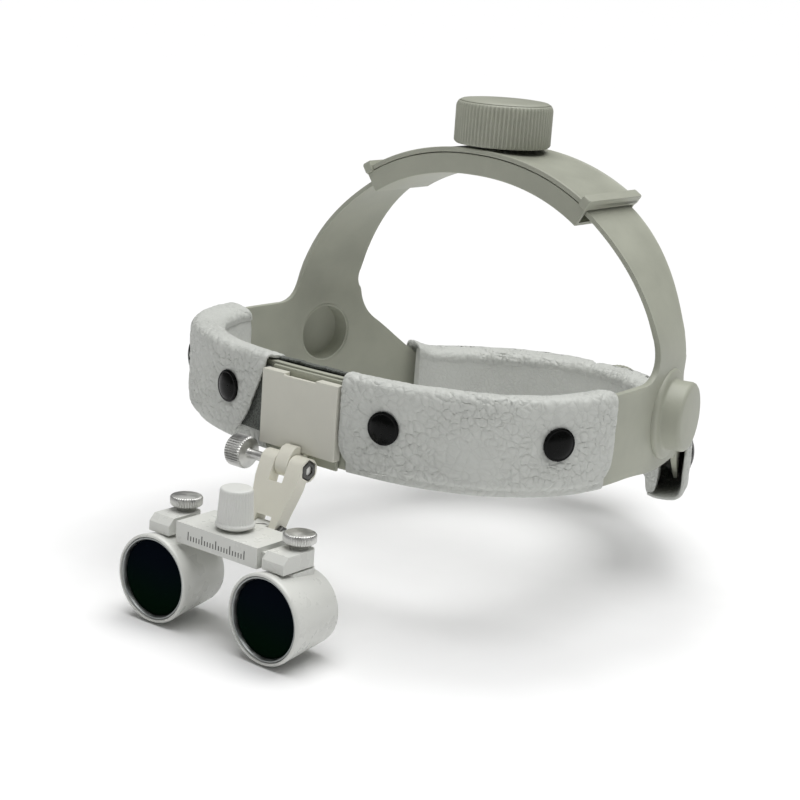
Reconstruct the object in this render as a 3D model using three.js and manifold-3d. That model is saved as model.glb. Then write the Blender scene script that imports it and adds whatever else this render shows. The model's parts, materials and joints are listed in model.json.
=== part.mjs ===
// Head-worn dental loupes: an adjustable plastic headband with leather pads, a front
// bracket with a flip-up arm, and a bridge that carries two adjustable telescopes.
// Units are millimetres. +Z is up, -Y is forward and +X is the wearer's left.
// The origin is the centre of the head opening, level with the temple bosses.

import * as THREE from 'three';
import { mergeVertices } from 'three/addons/utils/BufferGeometryUtils.js';
import Module from 'manifold-3d';

const wasm = await Module();
wasm.setup();

// ---------------------------------------------------------------- driving dimensions

// Plan of the headband's centreline: half a superellipse in front, half an ellipse behind.
const PLAN = { halfWidth: 87, widestY: -38, frontDepth: 64.6, rearDepth: 128, frontPower: 2.5, rearPower: 2 };

const BAND = { half: 1.2, top: 17.5, bottom: -14.6 };
const LEG = { half: 0.85, layer: 1.45 };           // half thickness of a strap or arm, and its layer's offset
const CLEARANCE = 0.3;

// Temple plate: the Y-shaped end of the band, with a hollow round boss.
const TEMPLE = {
  z: 3, y: 1, bossRadius: 13, bossHeight: 11.3, ringRadius: 17, ringHeight: 3.4, bossEdge: 1.1,
  recessRadius: 11.3, recessDepth: 7.6, top: 23.6, bottom: -17.4, rearY: 18, frontFlareY: -12.5,
};

// Strap arch over the head, a superellipse in the XZ plane.
const ARCH = { halfWidth: 85.5, height: 85.8, power: 2.16, y: 1.8, baseZ: 25.2, halfStrap: 15.2 };

// Rear arms: they drop from the temple to the nape.
const ARM = { drop: 27, dropFromY: 5, dropToY: 54, halfHeight: 11.5, startGap: 0.5 };

const LEG_OVERLAP = 24;                            // how far each leg passes the middle of its housing

// Adjuster housings (crown and rear): offsets are measured outwards from the leg's centreline.
const HOUSING = {
  floorIn: -5, floorOut: -3.7, coverIn: 3.1, coverOut: 4.8, lipOut: 7.2, lipLength: 3, wall: 1.4, wallTop: 2.8,
};
const CROWN = { halfLength: 49.5, halfWidth: 17.4 };
const REAR = { halfLength: 30, halfHeight: 13.5 };

// Ribbed adjuster knobs and their gears. The rear one is smaller, so that it stays below the pad's top edge.
const KNOB = {
  bottom: 5.8, top: 21.8, wall: 2.1, capInset: 1.5, capRise: 1.2, hubRadius: 5, shaftRadius: 2.6,
};
const KNOB_RADIUS = { crown: 18.6, rear: 13.6 };
const GEAR = { teeth: 10, module: 1 };

// Leather pads.
const FRONT_PAD = {
  inner: -7.5, outer: 5.4, channel: 1.6, top: 20, bottom: -15.4, endY: -47.6, gapHalf: 18.6,
};
const REAR_PAD = {
  inner: -11.2, innerFace: -5.4, channel: 3.2, outer: 5.4, half: 17.5, cap: 1.4, gapHalf: 33,
  overArm: 5, endLift: 4, levelY: 60,
};
const REAR_PAD_END = { leftY: 27, rightY: 42.5 };
const HEM = { height: 6.5, depth: 1.2 };              // the flaps thin down towards their lower edge
const SNAP = { radius: 5.9, height: 2.2, stem: 1.8, frontX: 34, sideY: -70.6, z: 4.4 };

// Front bracket.
const BRACKET = { halfWidth: 17.3, top: 15.9, bottom: -11.1, front: -109.2, wall: 1.2, channelHalf: 7.3 };
const BASE_PLATE = { halfWidth: 15.6, top: 17, bottom: -15.4, front: -105.3, back: -104.1 };
const SLIDE = { halfWidth: 7, top: 14.4, bottom: -11.3, front: -107.7, back: -105.7, tongueHalf: 2.85 };

// Hinges of the flip-up arm: axes run along X through these points.
const FLIP = { y: -112.5, z: -15.2, radius: 4.2, halfWidth: 9.5, pin: 1.75, slotRadius: 8.1, neckAngle: 0.2 };
const TILT = {
  y: -123, z: -36, radius: 2.8, halfWidth: 6.5, knuckle: 2.8, knuckleHalf: 3.2, pin: 1.3, slotRadius: 5,
};

// Bridge with the pupil-distance drive.
const BRIDGE = { half: 18.8, front: -147.5, back: -128.6, top: -33.1, bottom: -40.4, wall: 1.3 };
const PD = { y: -138.4, module: 0.6, barHeight: 4.4, barZ: -36.95, barDepth: 2.6, knobTop: -18.3 };

// Telescopes.
const SCOPE = {
  x: 26.4, front: -151.6, z: -55.2, frontRadius: 15.9, rearRadius: 13.3, length: 24.2, pivotY: -135.2,
  toeIn: THREE.MathUtils.degToRad(1.5),
};
const BLOCK = { halfWidth: 4.8, front: -148.2, back: -131.4, top: -33.4, bottom: -39.3, chamfer: 2.6 };

const FINISH = {
  plastic: { color: 0xaeb0a0, roughness: 0.5, metalness: 0 },
  leather: { color: 0xdcdcd8, roughness: 0.6, metalness: 0 },
  snap: { color: 0x0b0c0b, roughness: 0.15, metalness: 0 },
  cream: { color: 0xd2d1c4, roughness: 0.45, metalness: 0 },
  white: { color: 0xdededa, roughness: 0.4, metalness: 0 },
  satin: { color: 0xb9bab6, roughness: 0.35, metalness: 1 },
  dark: { color: 0x2a2b2a, roughness: 0.4, metalness: 1 },
  ring: { color: 0x77797a, roughness: 0.35, metalness: 1 },
  lens: { color: 0x06100c, roughness: 0.05, metalness: 0 },
};

const FACETS = { large: 26, medium: 16, small: 10 };   // sides of round pieces

const HALF_TURN = Math.PI;
const QUARTER_TURN = Math.PI / 2;

// ---------------------------------------------------------------- solids and booleans

function signedVolume(geometry) {
  const position = geometry.attributes.position;
  const index = geometry.index;
  const [a, b, c] = [new THREE.Vector3(), new THREE.Vector3(), new THREE.Vector3()];
  let volume = 0;
  for (let i = 0; i < index.count; i += 3) {
    a.fromBufferAttribute(position, index.getX(i));
    b.fromBufferAttribute(position, index.getX(i + 1));
    c.fromBufferAttribute(position, index.getX(i + 2));
    volume += a.dot(b.cross(c)) / 6;
  }
  return volume;
}

// Keeps positions only, merges shared vertices and turns the faces outwards.
function closed(geometry) {
  const bare = geometry.clone();
  bare.deleteAttribute('normal');
  bare.deleteAttribute('uv');
  const merged = mergeVertices(bare, 1e-4);
  if (signedVolume(merged) < 0) {
    const index = merged.index;
    for (let i = 0; i < index.count; i += 3) {
      const first = index.getX(i);
      index.setX(i, index.getX(i + 1));
      index.setX(i + 1, first);
    }
  }
  return merged;
}

function solid(geometry) {
  const merged = closed(geometry);
  const mesh = new wasm.Mesh({
    numProp: 3,
    vertProperties: new Float32Array(merged.attributes.position.array),
    triVerts: new Uint32Array(merged.index.array),
  });
  return new wasm.Manifold(mesh);
}

function geometryOf(manifold) {
  const mesh = manifold.getMesh();
  const geometry = new THREE.BufferGeometry();
  geometry.setAttribute('position', new THREE.BufferAttribute(new Float32Array(mesh.vertProperties), 3));
  geometry.setIndex(new THREE.BufferAttribute(new Uint32Array(mesh.triVerts), 1));
  return geometry;
}

const join = (first, ...others) => geometryOf(others.reduce((sum, g) => sum.add(solid(g)), solid(first)));
const cut = (first, ...others) => geometryOf(
  others.reduce((rest, g) => rest.subtract(solid(g)), solid(first)));

// A box from its lowest to its highest corner.
function block(low, high) {
  const geometry = new THREE.BoxGeometry(high[0] - low[0], high[1] - low[1], high[2] - low[2]);
  return geometry.translate((low[0] + high[0]) / 2, (low[1] + high[1]) / 2, (low[2] + high[2]) / 2);
}

// A solid of revolution about +Z from a closed [radius, height] outline.
function turned(outline, segments = FACETS.large) {
  const points = outline.map(([radius, height]) => new THREE.Vector2(radius, height));
  const onAxis = outline[0][0] === 0 && outline.at(-1)[0] === 0;
  if (!onAxis) points.push(points[0].clone());
  return new THREE.LatheGeometry(points, segments).rotateX(QUARTER_TURN);
}

const rod = (radius, from, to, segments = FACETS.small) =>
  turned([[0, from], [radius, from], [radius, to], [0, to]], segments);

const tube = (inner, outer, from, to, segments = FACETS.medium) =>
  turned([[inner, from], [outer, from], [outer, to], [inner, to]], segments);

// Turns a piece that points along +Z so that it points along +X, +Y or an angle in plan.
const towardsX = (geometry) => geometry.rotateY(QUARTER_TURN);
const towardsY = (geometry) => geometry.rotateX(-QUARTER_TURN);
const towardsPlan = (geometry, angle) => towardsX(geometry).rotateZ(angle);

// A flat outline, drawn in the YZ plane and extruded from x = -half to x = +half.
function sidePlate(shape, half, curveSegments = 10) {
  const geometry = new THREE.ExtrudeGeometry(shape, { depth: 2 * half, bevelEnabled: false, curveSegments });
  geometry.applyMatrix4(new THREE.Matrix4().makeBasis(
    new THREE.Vector3(0, 1, 0), new THREE.Vector3(0, 0, 1), new THREE.Vector3(1, 0, 0)));
  return geometry.translate(-half, 0, 0);
}

const mirrored = (geometry) => geometry.clone().scale(-1, 1, 1);

// A skin through a row of equal sections, closed by a flat cap at each end. Each frame has an
// origin and two directions, and sectionAt gives the section's [u, v] points in that frame.
function loft(frames, sectionAt) {
  const sections = frames.map(sectionAt);
  const count = sections[0].length;
  const positions = [];
  frames.forEach((frame, row) => {
    for (const [u, v] of sections[row]) {
      const point = frame.origin.clone().addScaledVector(frame.u, u).addScaledVector(frame.v, v);
      positions.push(point.x, point.y, point.z);
    }
  });
  const faces = [];
  for (let row = 0; row + 1 < frames.length; row += 1) {
    for (let i = 0; i < count; i += 1) {
      const a = row * count + i;
      const b = row * count + (i + 1) % count;
      faces.push(a, b, b + count, a, b + count, a + count);
    }
  }
  const capAt = (row, flip) => {
    const contour = sections[row].map(([u, v]) => new THREE.Vector2(u, v));
    for (const [a, b, c] of THREE.ShapeUtils.triangulateShape(contour, [])) {
      const base = row * count;
      if (flip) faces.push(base + a, base + c, base + b);
      else faces.push(base + a, base + b, base + c);
    }
  };
  const clockwise = THREE.ShapeUtils.isClockWise(sections[0].map(([u, v]) => new THREE.Vector2(u, v)));
  capAt(0, !clockwise);
  capAt(frames.length - 1, clockwise);
  const geometry = new THREE.BufferGeometry();
  geometry.setAttribute('position', new THREE.Float32BufferAttribute(positions, 3));
  geometry.setIndex(faces);
  return closed(geometry);
}

// ---------------------------------------------------------------- curves of the headband

const smooth = (from, to, value) => THREE.MathUtils.smoothstep(value, from, to);

function planPoint(angle) {
  const front = angle < 0;
  const depth = front ? PLAN.frontDepth : PLAN.rearDepth;
  const power = 2 / (front ? PLAN.frontPower : PLAN.rearPower);
  const x = PLAN.halfWidth * Math.abs(Math.cos(angle)) ** power;
  const y = PLAN.widestY + Math.sign(angle) * depth * Math.abs(Math.sin(angle)) ** power;
  return new THREE.Vector2(x, y);
}

// The left half of the plan as a finely divided line with its length from the front centre.
const planTable = (() => {
  const steps = 3000;
  const rows = [];
  let length = 0;
  for (let i = 0; i <= steps; i += 1) {
    const point = planPoint(-QUARTER_TURN + HALF_TURN * i / steps);
    if (i > 0) length += point.distanceTo(rows[i - 1].point);
    rows.push({ point, length });
  }
  rows[0].point.x = 0;
  rows[steps].point.x = 0;
  return rows;
})();
const halfPlanLength = planTable.at(-1).length;

// Length along the plan from the front centre to the place where the left side has this y or x.
const stationAtY = (y) => planTable.find((row) => row.point.y >= y).length;
const frontStationAtX = (x) => planTable.find((row) => row.point.x >= x).length;

// Point and outward normal of the plan; a negative length is on the wearer's right. Past the
// rear centre the line goes on round the other side.
function planFrame(length) {
  const side = Math.sign(length) || 1;
  let along = Math.abs(length);
  const past = along > halfPlanLength;
  if (past) along = 2 * halfPlanLength - along;
  const high = Math.min(Math.max(planTable.findIndex((row) => row.length >= along), 1), planTable.length - 1);
  const [a, b] = [planTable[high - 1], planTable[high]];
  const mix = (along - a.length) / (b.length - a.length);
  const point = a.point.clone().lerp(b.point, mix);
  const before = planTable[Math.max(high - 8, 0)];
  const after = planTable[Math.min(high + 7, planTable.length - 1)];
  const tangent = after.point.clone().sub(before.point).normalize();
  const mirror = past ? -side : side;
  return {
    origin: new THREE.Vector3(mirror * point.x, point.y, 0),
    u: new THREE.Vector3(mirror * tangent.y, -tangent.x, 0),
    v: new THREE.Vector3(0, 0, 1),
    length, y: point.y,
  };
}

function planFrames(from, to, count) {
  return Array.from({ length: count + 1 }, (_, i) => planFrame(from + (to - from) * i / count));
}

const rectangle = (u0, u1, v0, v1) => [[u0, v0], [u1, v0], [u1, v1], [u0, v1]];

// Frames along the strap arch. side is +1 for the wearer's left; layer shifts the arch outwards.
const archExponent = 2 / ARCH.power;
const archAngleAtZ = (z) => Math.asin((z / ARCH.height) ** (1 / archExponent));
const archAngleAtX = (x) => Math.acos(Math.sign(x) * (Math.abs(x) / ARCH.halfWidth) ** (1 / archExponent));
const archBaseAngle = archAngleAtZ(ARCH.baseZ);

function archPoint(angle, layer) {
  const x = ARCH.halfWidth * Math.sign(Math.cos(angle)) * Math.abs(Math.cos(angle)) ** archExponent;
  return new THREE.Vector2(x, (ARCH.height + layer) * Math.abs(Math.sin(angle)) ** archExponent);
}

const templeFrame = planFrame(stationAtY(TEMPLE.y));
const plateTurn = Math.atan2(templeFrame.u.y, templeFrame.u.x);

function archFrame(angle, layer, side, twist) {
  const step = 0.004;
  const point = archPoint(angle, layer);
  const tangent = archPoint(angle + step, layer).sub(archPoint(angle - step, layer)).normalize();
  const turn = twist ? plateTurn * (1 - smooth(archBaseAngle, archAngleAtX(CROWN.halfLength), angle)) : 0;
  const outward = new THREE.Vector3(side * tangent.y, 0, -tangent.x);
  const across = new THREE.Vector3(0, 1, 0);
  return {
    origin: new THREE.Vector3(side * point.x, ARCH.y, point.y),
    u: across.clone().multiplyScalar(Math.cos(turn)).addScaledVector(outward, -Math.sin(turn)),
    v: outward.clone().multiplyScalar(Math.cos(turn)).addScaledVector(across, Math.sin(turn)),
    angle,
  };
}

function archFrames(from, to, count, layer = 0, side = 1, twist = false) {
  const step = (to - from) / count;
  return Array.from({ length: count + 1 }, (_, i) => archFrame(from + step * i, layer, side, twist));
}

// Middle height and half height of a rear arm at a place along the head.
function armMiddle(y) {
  return TEMPLE.z - ARM.drop * smooth(ARM.dropFromY, ARM.dropToY, y);
}

function armHalfHeight(y) {
  const slope = (armMiddle(y + 0.5) - armMiddle(y - 0.5));
  return ARM.halfHeight * Math.hypot(1, slope);
}

const rearY = PLAN.widestY + PLAN.rearDepth;
const rearZ = armMiddle(rearY);

// ---------------------------------------------------------------- band, straps and arms

// Upper and lower edge of the band, with the temple plate's flare up to the strap root.
function bandTop(y) {
  const flare = smooth(TEMPLE.frontFlareY - 8, TEMPLE.frontFlareY, y);
  const plate = BAND.top + (TEMPLE.top - BAND.top) * flare;
  const armTop = armMiddle(y) + armHalfHeight(y);
  return THREE.MathUtils.lerp(plate, armTop, smooth(TEMPLE.rearY - 3, TEMPLE.rearY - 1.2, y));
}

function bandBottom(y) {
  const plate = THREE.MathUtils.lerp(BAND.bottom, TEMPLE.bottom, smooth(-30, -4, y));
  const armBottom = armMiddle(y) - armHalfHeight(y);
  return THREE.MathUtils.lerp(plate, armBottom, smooth(2, TEMPLE.rearY, y));
}

// Places a piece that points outwards along +Z on the temple, at an offset from the band's middle.
function onTemple(geometry, offset) {
  towardsPlan(geometry, plateTurn);
  const point = templeFrame.origin.clone().addScaledVector(templeFrame.u, offset);
  return geometry.translate(point.x, point.y, TEMPLE.z);
}

function templeBoss() {
  const rim = TEMPLE.bossRadius;
  const top = TEMPLE.bossHeight;
  const edge = TEMPLE.bossEdge;
  return onTemple(turned([[0, 0.2], [TEMPLE.ringRadius, 0.2], [TEMPLE.ringRadius - 0.6, TEMPLE.ringHeight],
    [rim + 0.4, TEMPLE.ringHeight], [rim, top - edge], [rim - edge, top], [0, top]]), -BAND.half);
}

function templeRecess() {
  return onTemple(rod(TEMPLE.recessRadius, -2, TEMPLE.recessDepth, FACETS.large), -BAND.half);
}

// Holes in the band for the snaps' stems and the bracket's two screws.
const screwHeights = [9, -5];
const screw = { head: 2.4, shank: 1.3, headDepth: 0.7 };

function frontBand() {
  const end = stationAtY(TEMPLE.rearY);
  const flareStart = stationAtY(TEMPLE.frontFlareY - 10);
  const frames = [
    ...planFrames(-end, -flareStart, 12), ...planFrames(-flareStart, flareStart, 32).slice(1),
    ...planFrames(flareStart, end, 12).slice(1),
  ];
  const strip = loft(frames, (frame) =>
    rectangle(-BAND.half, BAND.half, bandBottom(frame.y), bandTop(frame.y)));
  const boss = templeBoss();
  const recess = templeRecess();
  const holes = screwHeights.map((z) => towardsY(rod(screw.shank + CLEARANCE, -110, -90)).translate(0, 0, z));
  return cut(join(strip, boss, mirrored(boss)), recess, mirrored(recess), ...holes);
}

// Rack teeth for a leg's slot, along X at the given distance from the gear's axis.
function rackTeeth(first, last, module, thickness, placeTooth) {
  const pitch = Math.PI * module;
  const pitchRadius = GEAR.teeth * module / 2;
  const [root, tip] = [pitchRadius + 1.4 * module, pitchRadius - 0.7 * module];
  const teeth = [];
  for (let i = first; i <= last; i += 1) {
    const shape = new THREE.Shape([[-0.23, root], [-0.1, tip], [0.1, tip], [0.23, root]]
      .map(([across, out]) => new THREE.Vector2(across * pitch, -out)));
    const tooth = new THREE.ExtrudeGeometry(shape, { depth: thickness, bevelEnabled: false });
    teeth.push(placeTooth(tooth.translate(0, 0, -thickness / 2), i * pitch));
  }
  return teeth;
}

// A gear with GEAR.teeth teeth, lying in the XY plane from one height to another.
function gear(module, from, to) {
  const pitchAngle = 2 * HALF_TURN / GEAR.teeth;
  const pitchRadius = GEAR.teeth * module / 2;
  const [root, tip] = [pitchRadius - 1.3 * module, pitchRadius + 0.8 * module];
  const corners = [[-0.26, root], [-0.11, tip], [0.11, tip], [0.26, root]];
  const points = [];
  for (let i = 0; i < GEAR.teeth; i += 1) {
    for (const [share, radius] of corners) {
      const angle = (i + share) * pitchAngle;
      points.push(new THREE.Vector2(radius * Math.cos(angle), radius * Math.sin(angle)));
    }
  }
  const options = { depth: to - from, bevelEnabled: false };
  return new THREE.ExtrudeGeometry(new THREE.Shape(points), options).translate(0, 0, from);
}

// The slot that the adjuster's gear runs in: its toothed side is towards -Y in the gear's frame.
const slot = { toothed: GEAR.teeth * GEAR.module / 2 + 1.1, plain: 7.2, half: 16 };
const rackCount = 4;

function strap(side) {
  const layer = side * LEG.layer;
  const last = archAngleAtX(-LEG_OVERLAP);
  const frames = archFrames(archBaseAngle, last, 22, layer, side, true);
  const leg = loft(frames, () => rectangle(-ARCH.halfStrap, ARCH.halfStrap, -LEG.half, LEG.half));
  const height = ARCH.height + layer;
  const window = side > 0 ? [-slot.toothed, slot.plain] : [-slot.plain, slot.toothed];
  const opening = block([-slot.half, ARCH.y + window[0], height - 5],
    [slot.half, ARCH.y + window[1], height + 3]);
  const teeth = rackTeeth(-rackCount, rackCount, GEAR.module, 2 * LEG.half, (tooth, x) => {
    if (side < 0) tooth.rotateZ(HALF_TURN);
    const frame = archFrame(archAngleAtX(x), layer, 1, false);
    tooth.rotateY(Math.atan2(frame.v.x, frame.v.z));
    return tooth.translate(frame.origin.x, ARCH.y, frame.origin.z);
  });
  return join(cut(leg, opening), ...teeth);
}

function rearArm(side) {
  const start = stationAtY(TEMPLE.rearY + ARM.startGap);
  const end = halfPlanLength + LEG_OVERLAP;
  const shift = (length) => (
    side * LEG.layer * smooth(start, halfPlanLength - REAR.halfLength, Math.abs(length)));
  const frames = planFrames(side * start, side * end, 26);
  const leg = loft(frames, (frame) => {
    const [middle, half] = [armMiddle(frame.y), armHalfHeight(frame.y)];
    const offset = shift(frame.length);
    return rectangle(offset - LEG.half, offset + LEG.half, middle - half, middle + half);
  });
  const y = rearY + side * LEG.layer;
  const window = side > 0 ? [-slot.plain, slot.toothed] : [-slot.toothed, slot.plain];
  const opening = block([-slot.half, y - 6, rearZ + window[0]], [slot.half, y + 4, rearZ + window[1]]);
  const teeth = rackTeeth(-rackCount, rackCount, GEAR.module, 2 * LEG.half, (tooth, x) => {
    if (side < 0) tooth.rotateZ(HALF_TURN);
    towardsY(tooth);
    const frame = planFrame(halfPlanLength - x);
    tooth.rotateZ(-Math.atan2(frame.u.x, frame.u.y));
    const offset = side * LEG.layer;
    return tooth.translate(frame.origin.x + offset * frame.u.x, frame.origin.y + offset * frame.u.y, rearZ);
  });
  return join(cut(leg, opening), ...teeth);
}

// ---------------------------------------------------------------- adjuster housings

// A channel section: a floor and two side walls.
function channel(half, wallTop) {
  const inner = half - HOUSING.wall;
  return [[-half, HOUSING.floorIn], [half, HOUSING.floorIn], [half, wallTop], [inner, wallTop],
    [inner, HOUSING.floorOut], [-inner, HOUSING.floorOut], [-inner, wallTop], [-half, wallTop]];
}

const crownFrom = archAngleAtX(CROWN.halfLength);
const crownLip = archAngleAtX(CROWN.halfLength - HOUSING.lipLength);

function crownBase() {
  const section = channel(CROWN.halfWidth, HOUSING.wallTop);
  const shell = loft(archFrames(crownFrom, HALF_TURN - crownFrom, 16), () => section);
  return cut(shell, rod(2.1, 70, 88).translate(0, ARCH.y, 0));
}

function crownCover() {
  const half = CROWN.halfWidth;
  const plate = loft(archFrames(crownFrom, HALF_TURN - crownFrom, 16), () =>
    rectangle(-half, half, HOUSING.coverIn, HOUSING.coverOut));
  const lip = loft(archFrames(crownFrom, crownLip, 2), () =>
    rectangle(-half - 0.8, half + 0.8, HOUSING.coverIn, HOUSING.lipOut));
  const hole = rod(KNOB.shaftRadius + CLEARANCE, 84, 98).translate(0, ARCH.y, 0);
  return cut(join(plate, lip, mirrored(lip)), hole);
}

// The rear housing lies along the plan; its sections are [outwards, up] and the channel is turned.
const turnedSection = (section) => section.map(([across, out]) => [out, across + rearZ]);
const rearFrames = (half, count) => planFrames(halfPlanLength - half, halfPlanLength + half, count);

function rearBase() {
  const section = turnedSection(channel(REAR.halfHeight, HOUSING.wallTop));
  const shell = loft(rearFrames(REAR.halfLength, 12), () => section);
  return cut(shell, towardsY(rod(2.1, 70, 91)).translate(0, 0, rearZ));
}

function rearCover() {
  const half = REAR.halfHeight;
  const plate = loft(rearFrames(REAR.halfLength, 12), () =>
    turnedSection(rectangle(-half, half, HOUSING.coverIn, HOUSING.coverOut)));
  const from = halfPlanLength - REAR.halfLength;
  const lip = loft(planFrames(from, from + HOUSING.lipLength, 2), () =>
    turnedSection(rectangle(-half - 0.8, half + 0.8, HOUSING.coverIn, HOUSING.lipOut)));
  const hole = towardsY(rod(KNOB.shaftRadius + CLEARANCE, 88, 102)).translate(0, 0, rearZ);
  return cut(join(plate, lip, mirrored(lip)), hole);
}

// Adjuster parts in their own frame: origin on the legs' centreline, +Z out along the knob's axis.
const hubTop = KNOB.top - 3.1;

function knobBody(radius) {
  const { bottom, top, wall, capInset, hubRadius, shaftRadius } = KNOB;
  const seat = radius - capInset + CLEARANCE;
  const bore = shaftRadius + CLEARANCE;
  const ceiling = hubTop - 0.3;
  return turned([[bore, bottom + 0.3], [hubRadius, bottom + 0.3], [hubRadius, ceiling], [radius - wall, ceiling],
    [radius - wall, bottom], [radius, bottom], [radius, top - 0.7], [radius - 0.7, top], [seat, top],
    [seat, top - 0.9], [3.1, top - 0.9], [3.1, top - 2.2], [1.5, top - 2.2], [1.5, hubTop], [bore, hubTop]]);
}

function knobCap(radius) {
  const { top, capInset, capRise } = KNOB;
  const edge = radius - capInset;
  return turned([[0, top - 0.6], [edge, top - 0.6], [edge, top + 0.3], [edge - 2.8, top + capRise - 0.3],
    [0, top + capRise]]);
}

function adjusterPinion() {
  const shaft = rod(KNOB.shaftRadius, 2, hubTop - 0.3);
  const foot = rod(1.8, -4, -2.5);
  return cut(join(gear(GEAR.module, -2.7, 2.4), shaft, foot), rod(1.5, 7, 20));
}

const adjusterWasher = () => tube(3.2, 8.4, HOUSING.coverOut + 0.3, KNOB.bottom);
function adjusterScrew() {
  const [seat, head] = [KNOB.top - 1.9, KNOB.top - 1.1];
  return turned([[0, 8], [1.2, 8], [1.2, seat], [2.8, seat], [2.8, head], [0, head]], FACETS.small);
}

// ---------------------------------------------------------------- leather pads and snaps

// A folded pad: thick inside, over the top edge, and a flap down the outside.
function foldedSection({ inner, innerFace, channel: gap, outer, top, bottom, underTop }) {
  const hem = bottom + 0.5;
  return [[inner, bottom], [innerFace, bottom], [innerFace, underTop], [gap, underTop], [gap, hem],
    [outer - HEM.depth, hem], [outer, hem + HEM.height], [outer, top - 1], [outer - 1, top], [inner + 1.5, top],
    [inner, top - 1.5]];
}

function frontCushion() {
  const end = stationAtY(FRONT_PAD.endY);
  const section = foldedSection({ ...FRONT_PAD, innerFace: -FRONT_PAD.channel, underTop: BAND.top + 0.4 });
  const pad = loft(planFrames(-end, end, 32), () => section);
  const front = PLAN.widestY - PLAN.frontDepth;
  const gap = block([-FRONT_PAD.gapHalf, front - 20, -40],
    [FRONT_PAD.gapHalf, front + FRONT_PAD.channel, 40]);
  const holes = frontSnaps.map(({ frame }) => snapHole(frame, FRONT_PAD, SNAP.z));
  return cut(pad, gap, ...holes);
}

// Top and bottom of the rear pad: a level strip, except that near its ends its top rises over the arms.
function rearPadEdges(y) {
  const overArm = armMiddle(y) + armHalfHeight(y) + REAR_PAD.overArm;
  const lift = REAR_PAD.endLift * (1 - smooth(REAR_PAD_END.leftY, REAR_PAD.levelY, y));
  return [Math.max(overArm, rearZ + REAR_PAD.half), rearZ - REAR_PAD.half + lift];
}

function rearCushion() {
  const from = stationAtY(REAR_PAD_END.leftY);
  const to = 2 * halfPlanLength - stationAtY(REAR_PAD_END.rightY);
  const pad = loft(planFrames(from, to, 30), (frame) => {
    const [top, bottom] = rearPadEdges(frame.y);
    return foldedSection({ ...REAR_PAD, top, bottom, underTop: top - REAR_PAD.cap });
  });
  const gap = block([-REAR_PAD.gapHalf, rearY + REAR_PAD.innerFace - 16, -80],
    [REAR_PAD.gapHalf, rearY + 20, 40]);
  const keep = loft(rearFrames(REAR_PAD.gapHalf + 14, 24), () =>
    rectangle(REAR_PAD.inner - 5, REAR_PAD.innerFace, rearZ - 30, rearZ + 30));
  const holes = rearSnaps.map(({ frame, z }) => snapHole(frame, REAR_PAD, z));
  return cut(pad, cut(gap, keep), ...holes);
}

// Points a piece that stands along +Z out along a plan frame's normal.
function onFrame(geometry, frame, offset, z) {
  towardsPlan(geometry, Math.atan2(frame.u.y, frame.u.x));
  const point = frame.origin.clone().addScaledVector(frame.u, offset);
  return geometry.translate(point.x, point.y, z);
}

const snapHole = (frame, pad, z) => onFrame(rod(SNAP.stem + CLEARANCE, -0.6, 4), frame, pad.channel, z);

// A domed cap on the flap with a stem through it.
function snapCap(frame, pad, z) {
  const flap = pad.outer - pad.channel;
  const seat = flap + CLEARANCE;
  const rim = seat + 0.7;
  const crown = seat + SNAP.height;
  const outline = [[0, 0.3], [SNAP.stem, 0.3], [SNAP.stem, seat], [SNAP.radius, seat], [SNAP.radius, rim],
    [SNAP.radius * 0.86, crown - 0.5], [SNAP.radius * 0.5, crown - 0.1], [0, crown]];
  return onFrame(turned(outline, FACETS.medium), frame, pad.channel, z);
}

const frontSnaps = [['front', frontStationAtX(SNAP.frontX)], ['side', stationAtY(SNAP.sideY)]].flatMap(
  ([place, length]) => [['left', 1], ['right', -1]].map(
    ([hand, side]) => ({ name: `front_snap_${hand}_${place}`, frame: planFrame(side * length) })));

const rearSnaps = [['inner', stationAtY(66)], ['outer', stationAtY(47)]].flatMap(
  ([place, length]) => [['left', 1], ['right', -1]].map(([hand, side]) => {
    const frame = planFrame(side * length);
    return { name: `rear_snap_${hand}_${place}`, frame, z: armMiddle(frame.y) - 2 };
  }));

// ---------------------------------------------------------------- front bracket

function bracketBase() {
  const { halfWidth, top, bottom, front, back } = BASE_PLATE;
  const plate = block([-halfWidth, front, bottom], [halfWidth, back, top]);
  const holes = screwHeights.flatMap((z) => [
    towardsY(rod(screw.shank + CLEARANCE, -110, -100)).translate(0, 0, z),
    towardsY(rod(screw.head + CLEARANCE, -110, front + screw.headDepth)).translate(0, 0, z),
  ]);
  return cut(plate, ...holes);
}

function bracketScrew(z) {
  const front = BASE_PLATE.front;
  const outline = [[0, front], [screw.head, front], [screw.head, front + screw.headDepth - CLEARANCE],
    [screw.shank, front + screw.headDepth - CLEARANCE], [screw.shank, front + 3.6], [0, front + 3.6]];
  return towardsY(turned(outline, FACETS.small)).translate(0, 0, z);
}

// A shallow box that covers the slide, with a channel down its middle that is open above and below.
function bracketCover() {
  const { halfWidth, top, bottom, front, wall, channelHalf } = BRACKET;
  const back = BASE_PLATE.front - CLEARANCE;
  const body = block([-halfWidth, front, bottom], [halfWidth, back, top]);
  const channelCut = block([-channelHalf, front + wall, bottom - 5], [channelHalf, back + 5, top + 5]);
  return cut(body, channelCut);
}

const hingeHole = ({ y, z }, radius, half) => towardsX(rod(radius, -half, half, FACETS.medium)).translate(0, y, z);

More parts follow.
